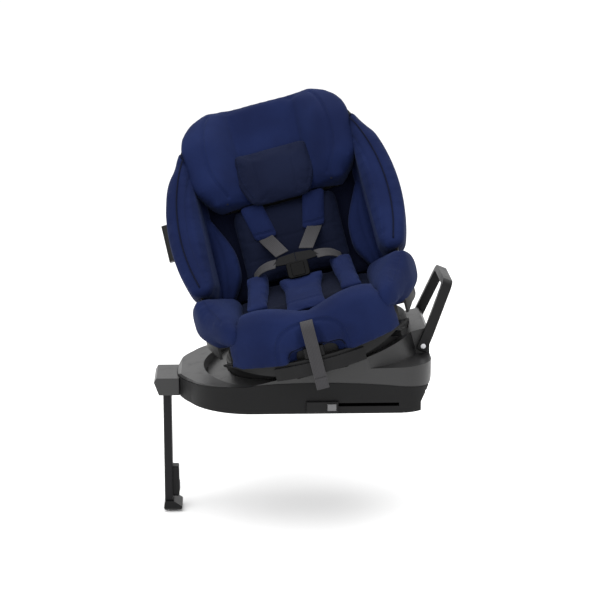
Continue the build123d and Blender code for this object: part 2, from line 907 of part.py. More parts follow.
with BuildPart() as front_roll:
    with BuildSketch(seat_side):
        with BuildLine():
            Polyline(
                (roll_front, shell_step_height + pad_gap),
                (roll_front, 95),
                (roll_front - 12, roll_height - 16),
                (roll_front - 34, roll_height),
                (120, roll_height - 7),
                (100, pan),
                (lip_inner - pad_gap, pan),
                (lip_inner - pad_gap, skirt_top + pad_gap),
                (lip_outer + pad_gap, skirt_top + pad_gap),
                (lip_outer + pad_gap, shell_step_height + pad_gap),
                close=True,
            )
        make_face()
    revolve(axis=swivel_axis)
    side_u = cushion_half_width - pad_gap
    region = [
        (-side_u, -roll_rear),
        (-side_u, -corner_v),
        (-roll_front, -corner_v),
        (-roll_front, -roll_front - 1),
        (roll_front, -roll_front - 1),
        (roll_front, -corner_v),
        (side_u, -corner_v),
        (side_u, -roll_rear),
    ]
    extrude(outline(seat_frame, *region), amount=2 * roll_height, mode=Mode.INTERSECT)
    extrude(
        box_outline(seat_frame, -recess_half, recess_half, -roll_front - 1, -lip_outer),
        amount=recess_roof,
        mode=Mode.SUBTRACT,
    )
    flap = placed(seat_frame, Plane.XY.offset(recess_roof + 1))
    with BuildPart(mode=Mode.PRIVATE) as front_flap:
        extrude(disc(flap, roll_front + 3, roll_front - 2), amount=18)
        flap_span = box_outline(flap, -recess_half - 8, recess_half + 8, -250, -150)
        extrude(flap_span, amount=50, mode=Mode.INTERSECT)
    add(front_flap.part)
export(front_roll.part, "front_roll")

with BuildPart() as thigh_bolsters:
    extrude(seat_plan(placed(seat_frame, Plane.XY.offset(pan)), shell_wall + pad_gap), amount=shell_radius)
    bolster_side = [
        (bolster_front, pan),
        (bolster_front, 125),
        (62, bolster_tip_height),
        (-70, bight_line(-70, 5)),
        (-shell_rear + 18, bight_line(-shell_rear + 18, 5)),
        (-shell_rear + 18, pan),
    ]
    extrude(outline(seat_side, *bolster_side), amount=shell_radius, both=True, mode=Mode.INTERSECT)
    low_u = cushion_half_width + 1
    section = [
        (low_u, 0),
        (low_u, 125),
        (shell_radius - 15, bolster_tip_height),
        (shell_radius, bolster_tip_height - 8),
        (shell_radius, 0),
    ]
    with BuildPart(mode=Mode.PRIVATE) as both_sides:
        extrude(outline(seat_front, *section), amount=shell_radius, both=True)
        mirror(about=placed(seat_frame, Plane.YZ))
    add(both_sides.part, mode=Mode.INTERSECT)
    with BuildPart(mode=Mode.PRIVATE) as around_lip:
        extrude(disc(seat_frame, shell_radius, lip_inner - pad_gap), amount=skirt_top + pad_gap)
        extrude(
            box_outline(seat_frame, -shell_radius, shell_radius, pad_gap - lip_front, shell_radius),
            amount=shell_radius,
            mode=Mode.SUBTRACT,
        )
    add(around_lip.part, mode=Mode.SUBTRACT)
export(thigh_bolsters.part, "thigh_bolsters")

with BuildPart() as backrest_pad:
    pad_floor = back_frame.offset(shell_wall + pad_gap - back_thickness)
    extrude(back_outline(pad_floor, shell_wall + pad_gap), amount=backrest_pad_thickness)
    extrude(
        box_outline(pad_floor, -wing_inner + 4, wing_inner - 4, 4, back_length),
        amount=backrest_pad_thickness,
        mode=Mode.INTERSECT,
    )
    extrude(
        box_outline(pad_floor, -neck_half_width - 3, neck_half_width + 3, neck_low - 8, back_length + 5),
        amount=backrest_pad_thickness,
        mode=Mode.SUBTRACT,
    )
export(backrest_pad.part, "backrest_pad")

with BuildPart() as wing_pads:
    extrude(back_outline(pad_floor, shell_wall + pad_gap), amount=2 * wing_front_bottom)
    extrude(wing_side(back_side, shell_wall), amount=back_half_width, both=True, mode=Mode.INTERSECT)
    extrude(
        box_outline(back_frame.offset(-50), -wing_inner, wing_inner, -5, back_length + 5),
        amount=2 * wing_front_bottom,
        mode=Mode.SUBTRACT,
    )
export(wing_pads.part, "wing_pads")

with BuildPart() as side_pads:
    for side in (-1, 1):
        low_u, high_u = side_span(side, wing_inner - 6 - side_pad_width, wing_inner - 6)
        pad_plane = back_frame.offset(pad_front + pad_gap)
        extrude(box_outline(pad_plane, low_u, high_u, 6, insert_top, 14), amount=side_pad_depth)
export(side_pads.part, "side_pads")

with BuildPart() as insert_back:
    insert_floor = back_frame.offset(headrest_plate + 2.5)
    extrude(
        box_outline(insert_floor, -insert_half_width, insert_half_width, 24, insert_top, 20),
        amount=insert_thickness - 5,
    )
export(insert_back.part, "insert_back")

with BuildPart() as insert_seat:
    insert_points = [
        (cushion_front - 2, cushion_height + 2.5),
        (cushion_front - 2, cushion_height + 14),
        (-52, cushion_height + 28),
        (-64, cushion_height + 22),
        (-70, cushion_height - 5),
    ]
    extrude(outline(seat_side, *insert_points), amount=insert_half_width, both=True)
    extrude(box_outline(seat_frame, *crotch_slot), amount=shell_radius, mode=Mode.SUBTRACT)
export(insert_seat.part, "insert_seat")

# The pads on the insert follow its slope: one beside each thigh, and one under the buckle.
def insert_top_at(depth, gap):
    """The height of the insert's top at a depth, raised by a gap."""
    run = (cushion_front - 2 - depth) / (cushion_front + 50)
    return cushion_height + 14 + 14 * run + gap


with BuildPart() as hip_pads:
    hip_points = [
        (108, insert_top_at(108, pad_gap)),
        (108, insert_top_at(108, 12)),
        (-30, insert_top_at(-30, 18)),
        (-48, insert_top_at(-48, 8)),
        (-48, insert_top_at(-48, pad_gap)),
    ]
    for side in (-1, 1):
        low_u, high_u = side_span(side, 68, insert_half_width - 2)
        extrude(outline(seat_side.offset(-low_u), *hip_points), amount=low_u - high_u)
export(hip_pads.part, "hip_pads")

with BuildPart() as crotch_pad:
    crotch_points = [
        (cushion_front - 4, insert_top_at(cushion_front - 4, pad_gap)),
        (cushion_front - 4, insert_top_at(cushion_front - 4, 9)),
        (16, 158),
        (-6, 157),
        (-6, insert_top_at(-6, pad_gap)),
    ]
    extrude(outline(seat_side, *crotch_points), amount=42, both=True)
    extrude(box_outline(seat_frame, *crotch_slot), amount=shell_radius, mode=Mode.SUBTRACT)
export(crotch_pad.part, "crotch_pad")

# ---- Harness ----

buckle_axis = Axis(buckle_frame.origin, buckle_frame.z_dir)
tongue_span = 48
tongue_top = buckle_length + 21

with BuildPart() as buckle_housing:
    extrude(
        box_outline(buckle_frame, -buckle_width / 2, buckle_width / 2, 0, buckle_length, 7),
        amount=buckle_depth,
    )
    fillet(buckle_housing.faces().sort_by(buckle_axis)[-1].edges(), 2)
    pocket = buckle_frame.offset(buckle_depth - button_travel - 4)
    low_y = (buckle_length - button_size) / 2
    extrude(
        box_outline(pocket, -button_size / 2, button_size / 2, low_y, buckle_length - low_y, 4),
        amount=buckle_depth,
        mode=Mode.SUBTRACT,
    )
export(buckle_housing.part, "buckle_housing")

with BuildPart() as buckle_button:
    half_button = button_size / 2 - free_gap
    extrude(
        box_outline(
            pocket.offset(button_travel + 0.2),
            -half_button,
            half_button,
            low_y + free_gap,
            buckle_length - low_y - free_gap,
            3.5,
        ),
        amount=4.4,
    )
    fillet(buckle_button.faces().sort_by(buckle_axis)[-1].edges(), 1)
export(buckle_button.part, "buckle_button")

with BuildPart() as harness_tongues:
    tongue_plane = buckle_frame.offset(6)
    for side in (-1, 1):
        points = [
            (side * 0.6, buckle_length + pad_gap),
            (side * 0.6, tongue_top),
            (side * (tongue_span - 14), tongue_top - 3),
            (side * tongue_span, tongue_top - 16),
            (side * (tongue_span - 6), buckle_length + 2),
            (side * (buckle_width / 2 - 2), buckle_length + pad_gap),
        ]
        extrude(outline(tongue_plane, *points), amount=4)
export(harness_tongues.part, "harness_tongues")

with BuildPart() as harness_straps:
    for side in (-1, 1):
        add(webbing((side * 24, -21, 212.5), (side * 50, -114, 229), shoulder_strap_width, strap_thickness))
    for side in (-1, 1):
        add(webbing((side * 49, -10, 199), (side * 92, -48, 175), 8, 20))
    extrude(
        box_outline(placed(seat_frame, Plane.XY.offset(pan_top - shell_wall)), -19, 19, -9, -7),
        amount=161 - pan_top + shell_wall,
    )
export(harness_straps.part, "harness_straps")

# The adjuster sits in the recess under the front flap. Its strap hangs down over the flap.
adjuster_u = adjuster_strap_offset
with BuildPart() as harness_adjuster:
    adjuster_low = placed(seat_frame, Plane.XY.offset(shell_step_height + 2))
    button_low = adjuster_low.offset(4)
    extrude(
        box_outline(adjuster_low, adjuster_u - 20, adjuster_u + 20, -lip_outer - 18, -lip_outer - pad_gap, 3),
        amount=20,
    )
    extrude(
        box_outline(button_low, adjuster_u - 11, adjuster_u + 11, -lip_outer - 19, -lip_outer - 12),
        amount=12,
        mode=Mode.SUBTRACT,
    )
export(harness_adjuster.part, "harness_adjuster")

with BuildPart() as adjuster_button:
    extrude(
        box_outline(
            adjuster_low.offset(4 + free_gap),
            adjuster_u - 11 + free_gap,
            adjuster_u + 11 - free_gap,
            -lip_outer - 20,
            -lip_outer - 12 - 3.5,
            1,
        ),
        amount=12 - 2 * free_gap,
    )
export(adjuster_button.part, "adjuster_button")

strap_v = roll_front + 3 + pad_gap
half_strap = adjuster_strap_width / 2
with BuildPart() as adjuster_strap:
    extrude(
        box_outline(
            placed(seat_frame, Plane.XY.offset(adjuster_strap_break)),
            adjuster_u - half_strap,
            adjuster_u + half_strap,
            -strap_v - strap_thickness,
            -strap_v,
        ),
        amount=adjuster_strap_top - adjuster_strap_break,
    )
export(adjuster_strap.part, "adjuster_strap")

with BuildPart() as adjuster_strap_tail:
    extrude(
        box_outline(
            placed(seat_frame, Plane.XY.offset(adjuster_strap_end)),
            adjuster_u - half_strap,
            adjuster_u + half_strap,
            -strap_v - strap_thickness,
            -strap_v,
        ),
        amount=adjuster_strap_break - adjuster_strap_end,
    )
export(adjuster_strap_tail.part, "adjuster_strap_tail")

# ---- Headrest ----

with BuildPart() as headrest_shell:
    extrude(headrest_outline(back_frame.offset(1), 0), amount=headrest_wing_depth)
    extrude(headrest_side(back_side, cover_wrap), amount=headrest_half_width, both=True, mode=Mode.INTERSECT)
    headrest_inside = back_frame.offset(1 + headrest_plate)
    extrude(headrest_outline(headrest_inside, shell_wall), amount=headrest_wing_depth, mode=Mode.SUBTRACT)
    extrude(
        box_outline(headrest_inside, -110, 110, headrest_bottom - 5, headrest_bottom + shell_wall + 1),
        amount=headrest_wing_depth,
        mode=Mode.SUBTRACT,
    )
    apron = back_frame.offset(1)
    extrude(box_outline(apron, -60, 60, neck_low - 4, headrest_bottom + 10), amount=headrest_plate)
    neck_back = back_frame.offset(-back_thickness - 14)
    extrude(
        box_outline(neck_back, -neck_half_width, neck_half_width, neck_low, neck_high),
        amount=back_thickness + 16,
    )
    extrude(
        box_outline(neck_back, -neck_half_width - 14, neck_half_width + 14, neck_low, neck_high - 1),
        amount=9,
    )
    for side in (-1, 1):
        low_u, high_u = side_span(side, 14.5, 18.5)
        handle_rail = box_outline(
            back_frame.offset(-9), low_u + 6, high_u + 6, headrest_top - 24, headrest_top - 4
        )
        extrude(handle_rail, amount=10.5)
export(headrest_shell.part, "headrest_shell")

with BuildPart() as headrest_pad:
    pad_base = back_frame.offset(1 + headrest_plate + pad_gap)
    extrude(headrest_outline(pad_base, shell_wall + pad_gap), amount=headrest_wing_depth)
    extrude(headrest_side(back_side, shell_wall), amount=headrest_half_width, both=True, mode=Mode.INTERSECT)
    hollow_half = headrest_half_width - shell_wall - headrest_wing_width
    extrude(
        box_outline(pad_base.offset(headrest_pad_depth), -hollow_half, hollow_half, 0, headrest_top + 5),
        amount=headrest_wing_depth,
        mode=Mode.SUBTRACT,
    )
export(headrest_pad.part, "headrest_pad")

with BuildPart() as head_pillow:
    pillow_base = pad_base.offset(headrest_pad_depth + pad_gap)
    extrude(
        rounded_outline(
            pillow_base,
            14,
            (-pillow_half_width + 22, pillow_bottom),
            (pillow_half_width - 22, pillow_bottom),
            (pillow_half_width, pillow_bottom + 48),
            (pillow_half_width - 3, pillow_top),
            (-pillow_half_width + 3, pillow_top),
            (-pillow_half_width, pillow_bottom + 48),
        ),
        amount=pillow_thickness,
    )
export(head_pillow.part, "head_pillow")

with BuildPart() as shoulder_pads:
    pad_plane = insert_floor.offset(insert_thickness - 5 + pad_gap)
    for side in (-1, 1):
        extrude(
            rounded_outline(
                pad_plane,
                8,
                (side * (68 - shoulder_pad_width / 2), pad_top),
                (side * (50 - shoulder_pad_width / 2), pad_bottom),
                (side * (50 + shoulder_pad_width / 2), pad_bottom),
                (side * (68 + shoulder_pad_width / 2), pad_top),
            ),
            amount=shoulder_pad_thickness - 2,
        )
export(shoulder_pads.part, "shoulder_pads")

with BuildPart() as headrest_handle:
    handle_plane = back_frame.offset(-8)
    extrude(box_outline(handle_plane, -8, 20, headrest_top - 22, headrest_top + 8, 3), amount=8.5)
export(headrest_handle.part, "headrest_handle")

# ---- ISOFIX arms ----

for name, side in isofix_sides:
    centre = side * isofix_spacing / 2
    inner_half = arm_width / 2 + arm_play
    inner_rise = arm_height / 2 + arm_play
    with BuildPart() as isofix_guide:
        with BuildSketch(Plane.YZ.offset(guide_front)):
            with Locations((centre, isofix_height)):
                Rectangle(2 * inner_half + 2 * arm_wall, 2 * inner_rise + 2 * arm_wall)
                Rectangle(2 * inner_half, 2 * inner_rise, mode=Mode.SUBTRACT)
        extrude(amount=guide_length)
        low_y, high_y = side_span(side, isofix_spacing / 2 + 5, isofix_spacing / 2 + 40)
        extrude(
            box_outline(Plane.XY.offset(slot_floor - 0.5), stem_front - 4, slot_rear, low_y, high_y),
            amount=slot_roof - slot_floor + 1,
            mode=Mode.SUBTRACT,
        )
    export(isofix_guide.part, f"isofix_guide_{name}")

    with BuildPart() as isofix_arm:
        with BuildSketch(Plane.YZ.offset(guide_front + 5)):
            with Locations((centre, isofix_height)):
                Rectangle(arm_width, arm_height)
                Rectangle(arm_width - 2 * arm_wall, arm_height - 2 * arm_wall, mode=Mode.SUBTRACT)
        extrude(amount=guide_length)
        with BuildSketch(Plane.YZ.offset(guide_front + guide_length + 5)):
            with Locations((centre, isofix_height)):
                RectangleRounded(connector_width, connector_height, 3)
        extrude(amount=connector_length)
        low_y, high_y = side_span(side, isofix_spacing / 2 - 20, isofix_spacing / 2 + 20)
        extrude(
            box_outline(
                Plane.XY.offset(isofix_height - jaw_height / 2),
                connector_rear - jaw_depth,
                connector_rear + 1,
                low_y,
                high_y,
            ),
            amount=jaw_height,
            mode=Mode.SUBTRACT,
        )
        hook_half = hook_thickness / 2 + 0.5
        extrude(
            box_outline(
                Plane.XY.offset(isofix_height - connector_height / 2 + 2),
                connector_rear - connector_length + 5,
                connector_rear + 1,
                centre - hook_half,
                centre + hook_half,
            ),
            amount=connector_height,
            mode=Mode.SUBTRACT,
        )
        hook_pivot_x = connector_rear - connector_length + 13
        hook_pivot_z = isofix_height + 7
        with BuildSketch(Plane.XZ.offset(-centre)):
            with Locations((hook_pivot_x, hook_pivot_z)):
                Circle(2)
        extrude(amount=hook_half + 1, both=True)
    export(isofix_arm.part, f"isofix_arm_{name}")

    with BuildPart() as isofix_hook:
        hook_tip = connector_rear - 3
        points = [
            (hook_pivot_x - 5, hook_pivot_z - 5),
            (hook_tip - 5, hook_pivot_z - 2),
            (hook_tip - 5, isofix_height - jaw_height / 2 - 1.5),
            (hook_tip, isofix_height - jaw_height / 2 + 1),
            (hook_tip, hook_pivot_z + 4),
            (hook_pivot_x - 5, hook_pivot_z + 4),
        ]
        extrude(outline(Plane.XZ.offset(-centre), *points), amount=hook_thickness / 2, both=True)
        with BuildSketch(Plane.XZ.offset(-centre)):
            with Locations((hook_pivot_x, hook_pivot_z)):
                Circle(2 + post_clearance)
        extrude(amount=hook_thickness, both=True, mode=Mode.SUBTRACT)
    export(isofix_hook.part, f"isofix_hook_{name}")

    with BuildPart() as isofix_slider:
        wall_y = base_half_width + 0.6
        low_y, high_y = side_span(side, wall_y, wall_y + slider_thickness)
        slider_floor = isofix_height - arm_height / 2 - 12
        slider_plane = Plane.XY.offset(slider_floor)
        extrude(
            box_outline(slider_plane, slider_front, slider_front + slider_length, low_y, high_y),
            amount=slider_height,
        )
        outer = isofix_slider.faces().sort_by(Axis.Y)[0 if side < 0 else -1]
        fillet(outer.edges(), 2)
        button_front = slider_front + slider_length - 22
        low_y, high_y = side_span(side, wall_y + slider_thickness - release_travel - 1.5, wall_y + 20)
        extrude(
            box_outline(Plane.XY.offset(slider_floor + 4), button_front, button_front + 18, low_y, high_y),
            amount=slider_height - 8,
            mode=Mode.SUBTRACT,
        )
        low_y, high_y = side_span(side, isofix_spacing / 2 + arm_width / 2, wall_y + 1)
        extrude(
            box_outline(
                Plane.XY.offset(isofix_height - arm_height / 2),
                stem_front,
                stem_front + stem_length,
                low_y,
                high_y,
            ),
            amount=stem_height,
        )
    export(isofix_slider.part, f"isofix_slider_{name}")

    with BuildPart() as isofix_release:
        button_y = wall_y + slider_thickness
        low_y, high_y = side_span(side, button_y - 1, button_y + 3)
        extrude(
            box_outline(
                Plane.XY.offset(slider_floor + 4 + free_gap),
                button_front + free_gap,
                button_front + 18 - free_gap,
                low_y,
                high_y,
            ),
            amount=slider_height - 8 - 2 * free_gap,
        )
        outer = isofix_release.faces().sort_by(Axis.Y)[0 if side < 0 else -1]
        fillet(outer.edges(), 1)
    export(isofix_release.part, f"isofix_release_{name}")

# ---- Support leg ----

leg_front = leg_x - leg_depth / 2
leg_rear = leg_x + leg_depth / 2
cheek_inner = leg_width / 2 + 1

with BuildPart() as leg_bracket:
    bracket_points = [
        (-bracket_front + 10, 0),
        (-bracket_front, bracket_height - 9),
        (-bracket_front + 5, bracket_height),
        (-bracket_rear - free_gap, bracket_height),
        (-bracket_rear - free_gap, 0),
    ]
    extrude(outline(Plane.XZ, *bracket_points), amount=bracket_half_width, both=True)
    fillet(leg_bracket.edges().filter_by(Axis.Z), 3)
    extrude(
        box_outline(Plane.XY, leg_front - 2, -bracket_rear, -cheek_inner, cheek_inner),
        amount=leg_pivot_z + leg_depth / 2 + 1.5,
        mode=Mode.SUBTRACT,
    )
    with BuildSketch(Plane.XZ):
        with Locations((leg_x, leg_pivot_z)):
            Circle(leg_pin_radius)
    extrude(amount=bracket_half_width - 4, both=True, mode=Mode.SUBTRACT)
export(leg_bracket.part, "leg_bracket")

with BuildPart() as leg_hinge_pin:
    with BuildSketch(Plane.XZ):
        with Locations((leg_x, leg_pivot_z)):
            Circle(leg_pin_radius)
    extrude(amount=bracket_half_width - 4, both=True)
export(leg_hinge_pin.part, "leg_hinge_pin")

with BuildPart() as leg_outer_tube:
    tube_mouth = Plane.XY.offset(leg_tube_end)
    with BuildSketch(tube_mouth):
        with Locations((leg_x, 0)):
            RectangleRounded(leg_depth, leg_width, 4)
    extrude(amount=leg_pivot_z - leg_tube_end)
    with BuildSketch(Plane.XZ):
        with Locations((leg_x, leg_pivot_z)):
            Circle(leg_depth / 2)
    extrude(amount=leg_width / 2, both=True)
    with BuildSketch(tube_mouth):
        with Locations((leg_x, 0)):
            RectangleRounded(leg_depth - 2 * leg_wall, leg_width - 2 * leg_wall, 2.5)
    extrude(amount=leg_pivot_z - leg_tube_end - 17, mode=Mode.SUBTRACT)
    with BuildSketch(Plane.XZ):
        with Locations((leg_x, leg_pivot_z)):
            Circle(leg_pin_radius + post_clearance)
    extrude(amount=leg_width, both=True, mode=Mode.SUBTRACT)
export(leg_outer_tube.part, "leg_outer_tube")

adjuster_low_z = leg_tube_end + 5
adjuster_depth = 13
with BuildPart() as leg_adjuster:
    leg_side = Plane.YZ.offset(leg_rear)
    extrude(box_outline(leg_side, -16, 16, adjuster_low_z, adjuster_low_z + 65, 6), amount=adjuster_depth)
    fillet(leg_adjuster.faces().sort_by(Axis.X)[-1].edges(), 3)
    extrude(
        box_outline(leg_side.offset(adjuster_depth - 5), -9, 9, adjuster_low_z + 10, adjuster_low_z + 30, 3),
        amount=10,
        mode=Mode.SUBTRACT,
    )
export(leg_adjuster.part, "leg_adjuster")

with BuildPart() as leg_button:
    extrude(
        box_outline(
            leg_side.offset(adjuster_depth - 1.5),
            -9 + free_gap,
            9 - free_gap,
            adjuster_low_z + 10 + free_gap,
            adjuster_low_z + 30 - free_gap,
            2.5,
        ),
        amount=3,
    )
    fillet(leg_button.faces().sort_by(Axis.X)[-1].edges(), 0.8)
export(leg_button.part, "leg_button")

foot_top = leg_tube_end - 0.5
with BuildPart() as leg_inner_tube:
    slide_gap = leg_wall + 0.25
    with BuildSketch(Plane.XY.offset(foot_top)):
        with Locations((leg_x, 0)):
            RectangleRounded(leg_depth - 2 * slide_gap, leg_width - 2 * slide_gap, 2.2)
            hollow_depth = leg_depth - 2 * slide_gap - 3
            hollow_width = leg_width - 2 * slide_gap - 3
            RectangleRounded(hollow_depth, hollow_width, 1, mode=Mode.SUBTRACT)
    extrude(amount=leg_pivot_z - 22 - foot_top - 12)
export(leg_inner_tube.part, "leg_inner_tube")

with BuildPart() as leg_foot:
    foot_points = [
        (leg_front + 1, foot_top),
        (leg_front - 2, foot_top - foot_height + 5),
        (leg_front - 2, foot_top - foot_height + 3),
        (leg_front + foot_length, foot_top - foot_height + 3),
        (leg_front + foot_length, foot_top - foot_height + 7),
        (leg_rear + 2, foot_top),
    ]
    extrude(outline(Plane.XZ, *foot_points), amount=foot_width / 2, both=True)
    fillet(leg_foot.edges().filter_by(Axis.Z), 2)
export(leg_foot.part, "leg_foot")

with BuildPart() as foot_pad:
    sole = Plane.XY.offset(foot_top - foot_height)
    extrude(
        box_outline(
            sole, leg_front - 1, leg_front + foot_length - 1, 1 - foot_width / 2, foot_width / 2 - 1, 4
        ),
        amount=3,
    )
export(foot_pad.part, "foot_pad")

# ---- Anti-rebound bar ----

bar_frame = Plane(
    origin=(bar_pivot_x, 0, bar_pivot_z),
    x_dir=(0, 1, 0),
    z_dir=(cos(radians(bar_lean)), 0, -sin(radians(bar_lean))),
)
bar_inner = tower_half_width + bar_side_gap
bar_outer = bar_inner + bar_thickness

with BuildPart() as rebound_bar:
    inner_top = bar_length - bar_thickness - 2
    with BuildSketch(bar_frame.offset(-bar_width / 2)):
        with BuildLine():
            FilletPolyline(
                (-bar_outer, -bar_foot),
                (-bar_outer, bar_knee),
                (-bar_top_half, bar_length),
                (bar_top_half, bar_length),
                (bar_outer, bar_knee),
                (bar_outer, -bar_foot),
                (bar_inner, -bar_foot),
                (bar_inner, bar_knee),
                (bar_top_half - bar_thickness - 1, inner_top),
                (bar_thickness - bar_top_half + 1, inner_top),
                (-bar_inner, bar_knee),
                (-bar_inner, -bar_foot),
                radius=[4, 60, 22, 22, 60, 4, 4, 50, 12, 12, 50, 4],
                close=True,
            )
        make_face()
    extrude(amount=bar_width)
    with BuildSketch(Plane.XZ):
        with Locations((bar_pivot_x, bar_pivot_z)):
            Circle(bar_pin_radius + post_clearance)
    extrude(amount=base_half_width, both=True, mode=Mode.SUBTRACT)
export(rebound_bar.part, "rebound_bar")

with BuildPart() as rebound_pins:
    for side in (-1, 1):
        with BuildSketch(Plane.XZ.offset(side * tower_half_width)):
            with Locations((bar_pivot_x, bar_pivot_z)):
                Circle(bar_pin_radius)
        extrude(amount=side * (bar_side_gap + bar_thickness))
        with BuildSketch(Plane.XZ.offset(side * tower_half_width)):
            with Locations((bar_pivot_x, bar_pivot_z)):
                Circle(9)
        extrude(amount=side * (bar_side_gap - 1))
export(rebound_pins.part, "rebound_pins")
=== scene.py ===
"""Looks of a rotating child car seat: covers, pads, webbing, finishes and a plain studio around its frame."""
import logging
import math
from dataclasses import dataclass, field
from enum import Enum
from typing import Callable, Optional, Sequence, Union

import bpy
import numpy as np
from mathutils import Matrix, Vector
from mathutils.bvhtree import BVHTree


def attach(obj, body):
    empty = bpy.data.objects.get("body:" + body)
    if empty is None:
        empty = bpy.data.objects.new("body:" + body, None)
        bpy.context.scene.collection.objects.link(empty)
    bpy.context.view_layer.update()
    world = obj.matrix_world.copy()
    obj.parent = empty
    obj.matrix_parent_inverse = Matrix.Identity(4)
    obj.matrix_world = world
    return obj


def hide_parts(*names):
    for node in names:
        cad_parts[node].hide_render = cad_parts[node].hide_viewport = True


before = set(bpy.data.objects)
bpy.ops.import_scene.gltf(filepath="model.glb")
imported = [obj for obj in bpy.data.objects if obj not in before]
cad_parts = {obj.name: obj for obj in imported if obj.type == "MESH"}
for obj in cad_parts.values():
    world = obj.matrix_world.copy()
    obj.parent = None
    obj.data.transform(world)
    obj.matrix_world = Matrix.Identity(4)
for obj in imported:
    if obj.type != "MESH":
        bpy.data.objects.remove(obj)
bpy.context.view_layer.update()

LOG = logging.getLogger("car_seat")
MM = 0.001

# Angles are in degrees. SEAT_ORIGIN, WELD_GAP and RAY_START are in metres, and other lengths in millimetres.
TILT = 14.3
BACK_LEAN = 27.0
SEAT_ORIGIN = (0.041, 0.0, 0.0755)
BACK_DEPTH = 100.0
BACK_HEIGHT = 110.0
CURVE_STEP = 4.0
STRAP_STEP = 5.0
WELD_GAP = 0.00005
RAY_START = 0.12
INWARDS = (0, 0, -1)

Colour = tuple[float, float, float]
Shaper = Callable[[np.ndarray], np.ndarray]


def scaled(colour: Colour, factor: float, lift: float = 0.0) -> Colour:
    """A colour made lighter or darker, and no lighter than white."""
    return tuple(min(1.0, part * factor + lift) for part in colour)


class Slot(Enum):
    """The record's material slots, one kept on each soft pad."""

    COVER = "cover_fabric"
    INSERT = "insert_fabric"
    WEBBING = "webbing"


# ---- Frames of the seat ----


@dataclass(frozen=True)
class Place:
    """A frame given by an origin and three axes, with millimetres inside and metres outside.

    Args:
        origin: The frame's origin in the row frame, in metres.
        axes: Its three axes as rows.
    """

    origin: tuple[float, float, float]
    axes: tuple[tuple[float, float, float], ...]

    def to_row(self, points: np.ndarray) -> np.ndarray:
        """Turns the frame's own points, in millimetres, into row points, in metres."""
        return np.asarray(points, float) * MM @ np.array(self.axes) + np.array(self.origin)

    def to_own(self, points: np.ndarray) -> np.ndarray:
        """Turns row points, in metres, into the frame's own points, in millimetres."""
        return (np.asarray(points, float) - np.array(self.origin)) @ np.array(self.axes).T / MM

    def direction(self, own: Sequence[float]) -> Vector:
        """A direction of the frame as a unit vector in the row frame."""
        return Vector(np.asarray(own, float) @ np.array(self.axes)).normalized()


def seat_place() -> Place:
    """The seat's frame: u to the child's left, v to the front, w up the swivel axis."""
    c, s = math.cos(math.radians(TILT)), math.sin(math.radians(TILT))
    return Place(SEAT_ORIGIN, ((c, 0, s), (0, -1, 0), (-s, 0, c)))


def leaning_place(seat: Place, depth: float, height: float, lean: float) -> Place:
    """A frame that leans back from the swivel axis.

    Args:
        seat: The seat's frame.
        depth: How far behind the swivel axis it starts, in millimetres.
        height: How high it starts, in millimetres.
        lean: Its lean in degrees.

    Returns:
        The frame: u across, s up the lean and n towards the child.
    """
    c, s = math.cos(math.radians(lean)), math.sin(math.radians(lean))
    axes = np.array(seat.axes)
    origin = seat.to_row(np.array([0.0, -depth, height]))
    up = -s * axes[1] + c * axes[2]
    front = c * axes[1] + s * axes[2]
    return Place(tuple(origin), (tuple(axes[0]), tuple(up), tuple(front)))


SEAT = seat_place()
BACK = leaning_place(SEAT, BACK_DEPTH, BACK_HEIGHT, BACK_LEAN)


# ---- Shader building ----


class Value:
    """A socket's number, on which Python's operators add Math nodes."""

    def __init__(self, tree: "ShaderTree", socket: bpy.types.NodeSocket) -> None:
        """Keeps the tree and the socket."""
        self.tree = tree
        self.socket = socket

    def __add__(self, other: "Number") -> "Value":
        """self + other."""
        return self.tree.math("ADD", self, other)

    def __radd__(self, other: float) -> "Value":
        """other + self."""
        return self.tree.math("ADD", other, self)

    def __sub__(self, other: "Number") -> "Value":
        """self - other."""
        return self.tree.math("SUBTRACT", self, other)

    def __rsub__(self, other: float) -> "Value":
        """other - self."""
        return self.tree.math("SUBTRACT", other, self)

    def __mul__(self, other: "Number") -> "Value":
        """self * other."""
        return self.tree.math("MULTIPLY", self, other)

    def __rmul__(self, other: float) -> "Value":
        """other * self."""
        return self.tree.math("MULTIPLY", other, self)

    def __abs__(self) -> "Value":
        """The size of self."""
        return self.tree.math("ABSOLUTE", self)

    def __gt__(self, other: "Number") -> "Value":
        """1 where self is greater, else 0."""
        return self.tree.math("GREATER_THAN", self, other)


Number = Union[Value, float]


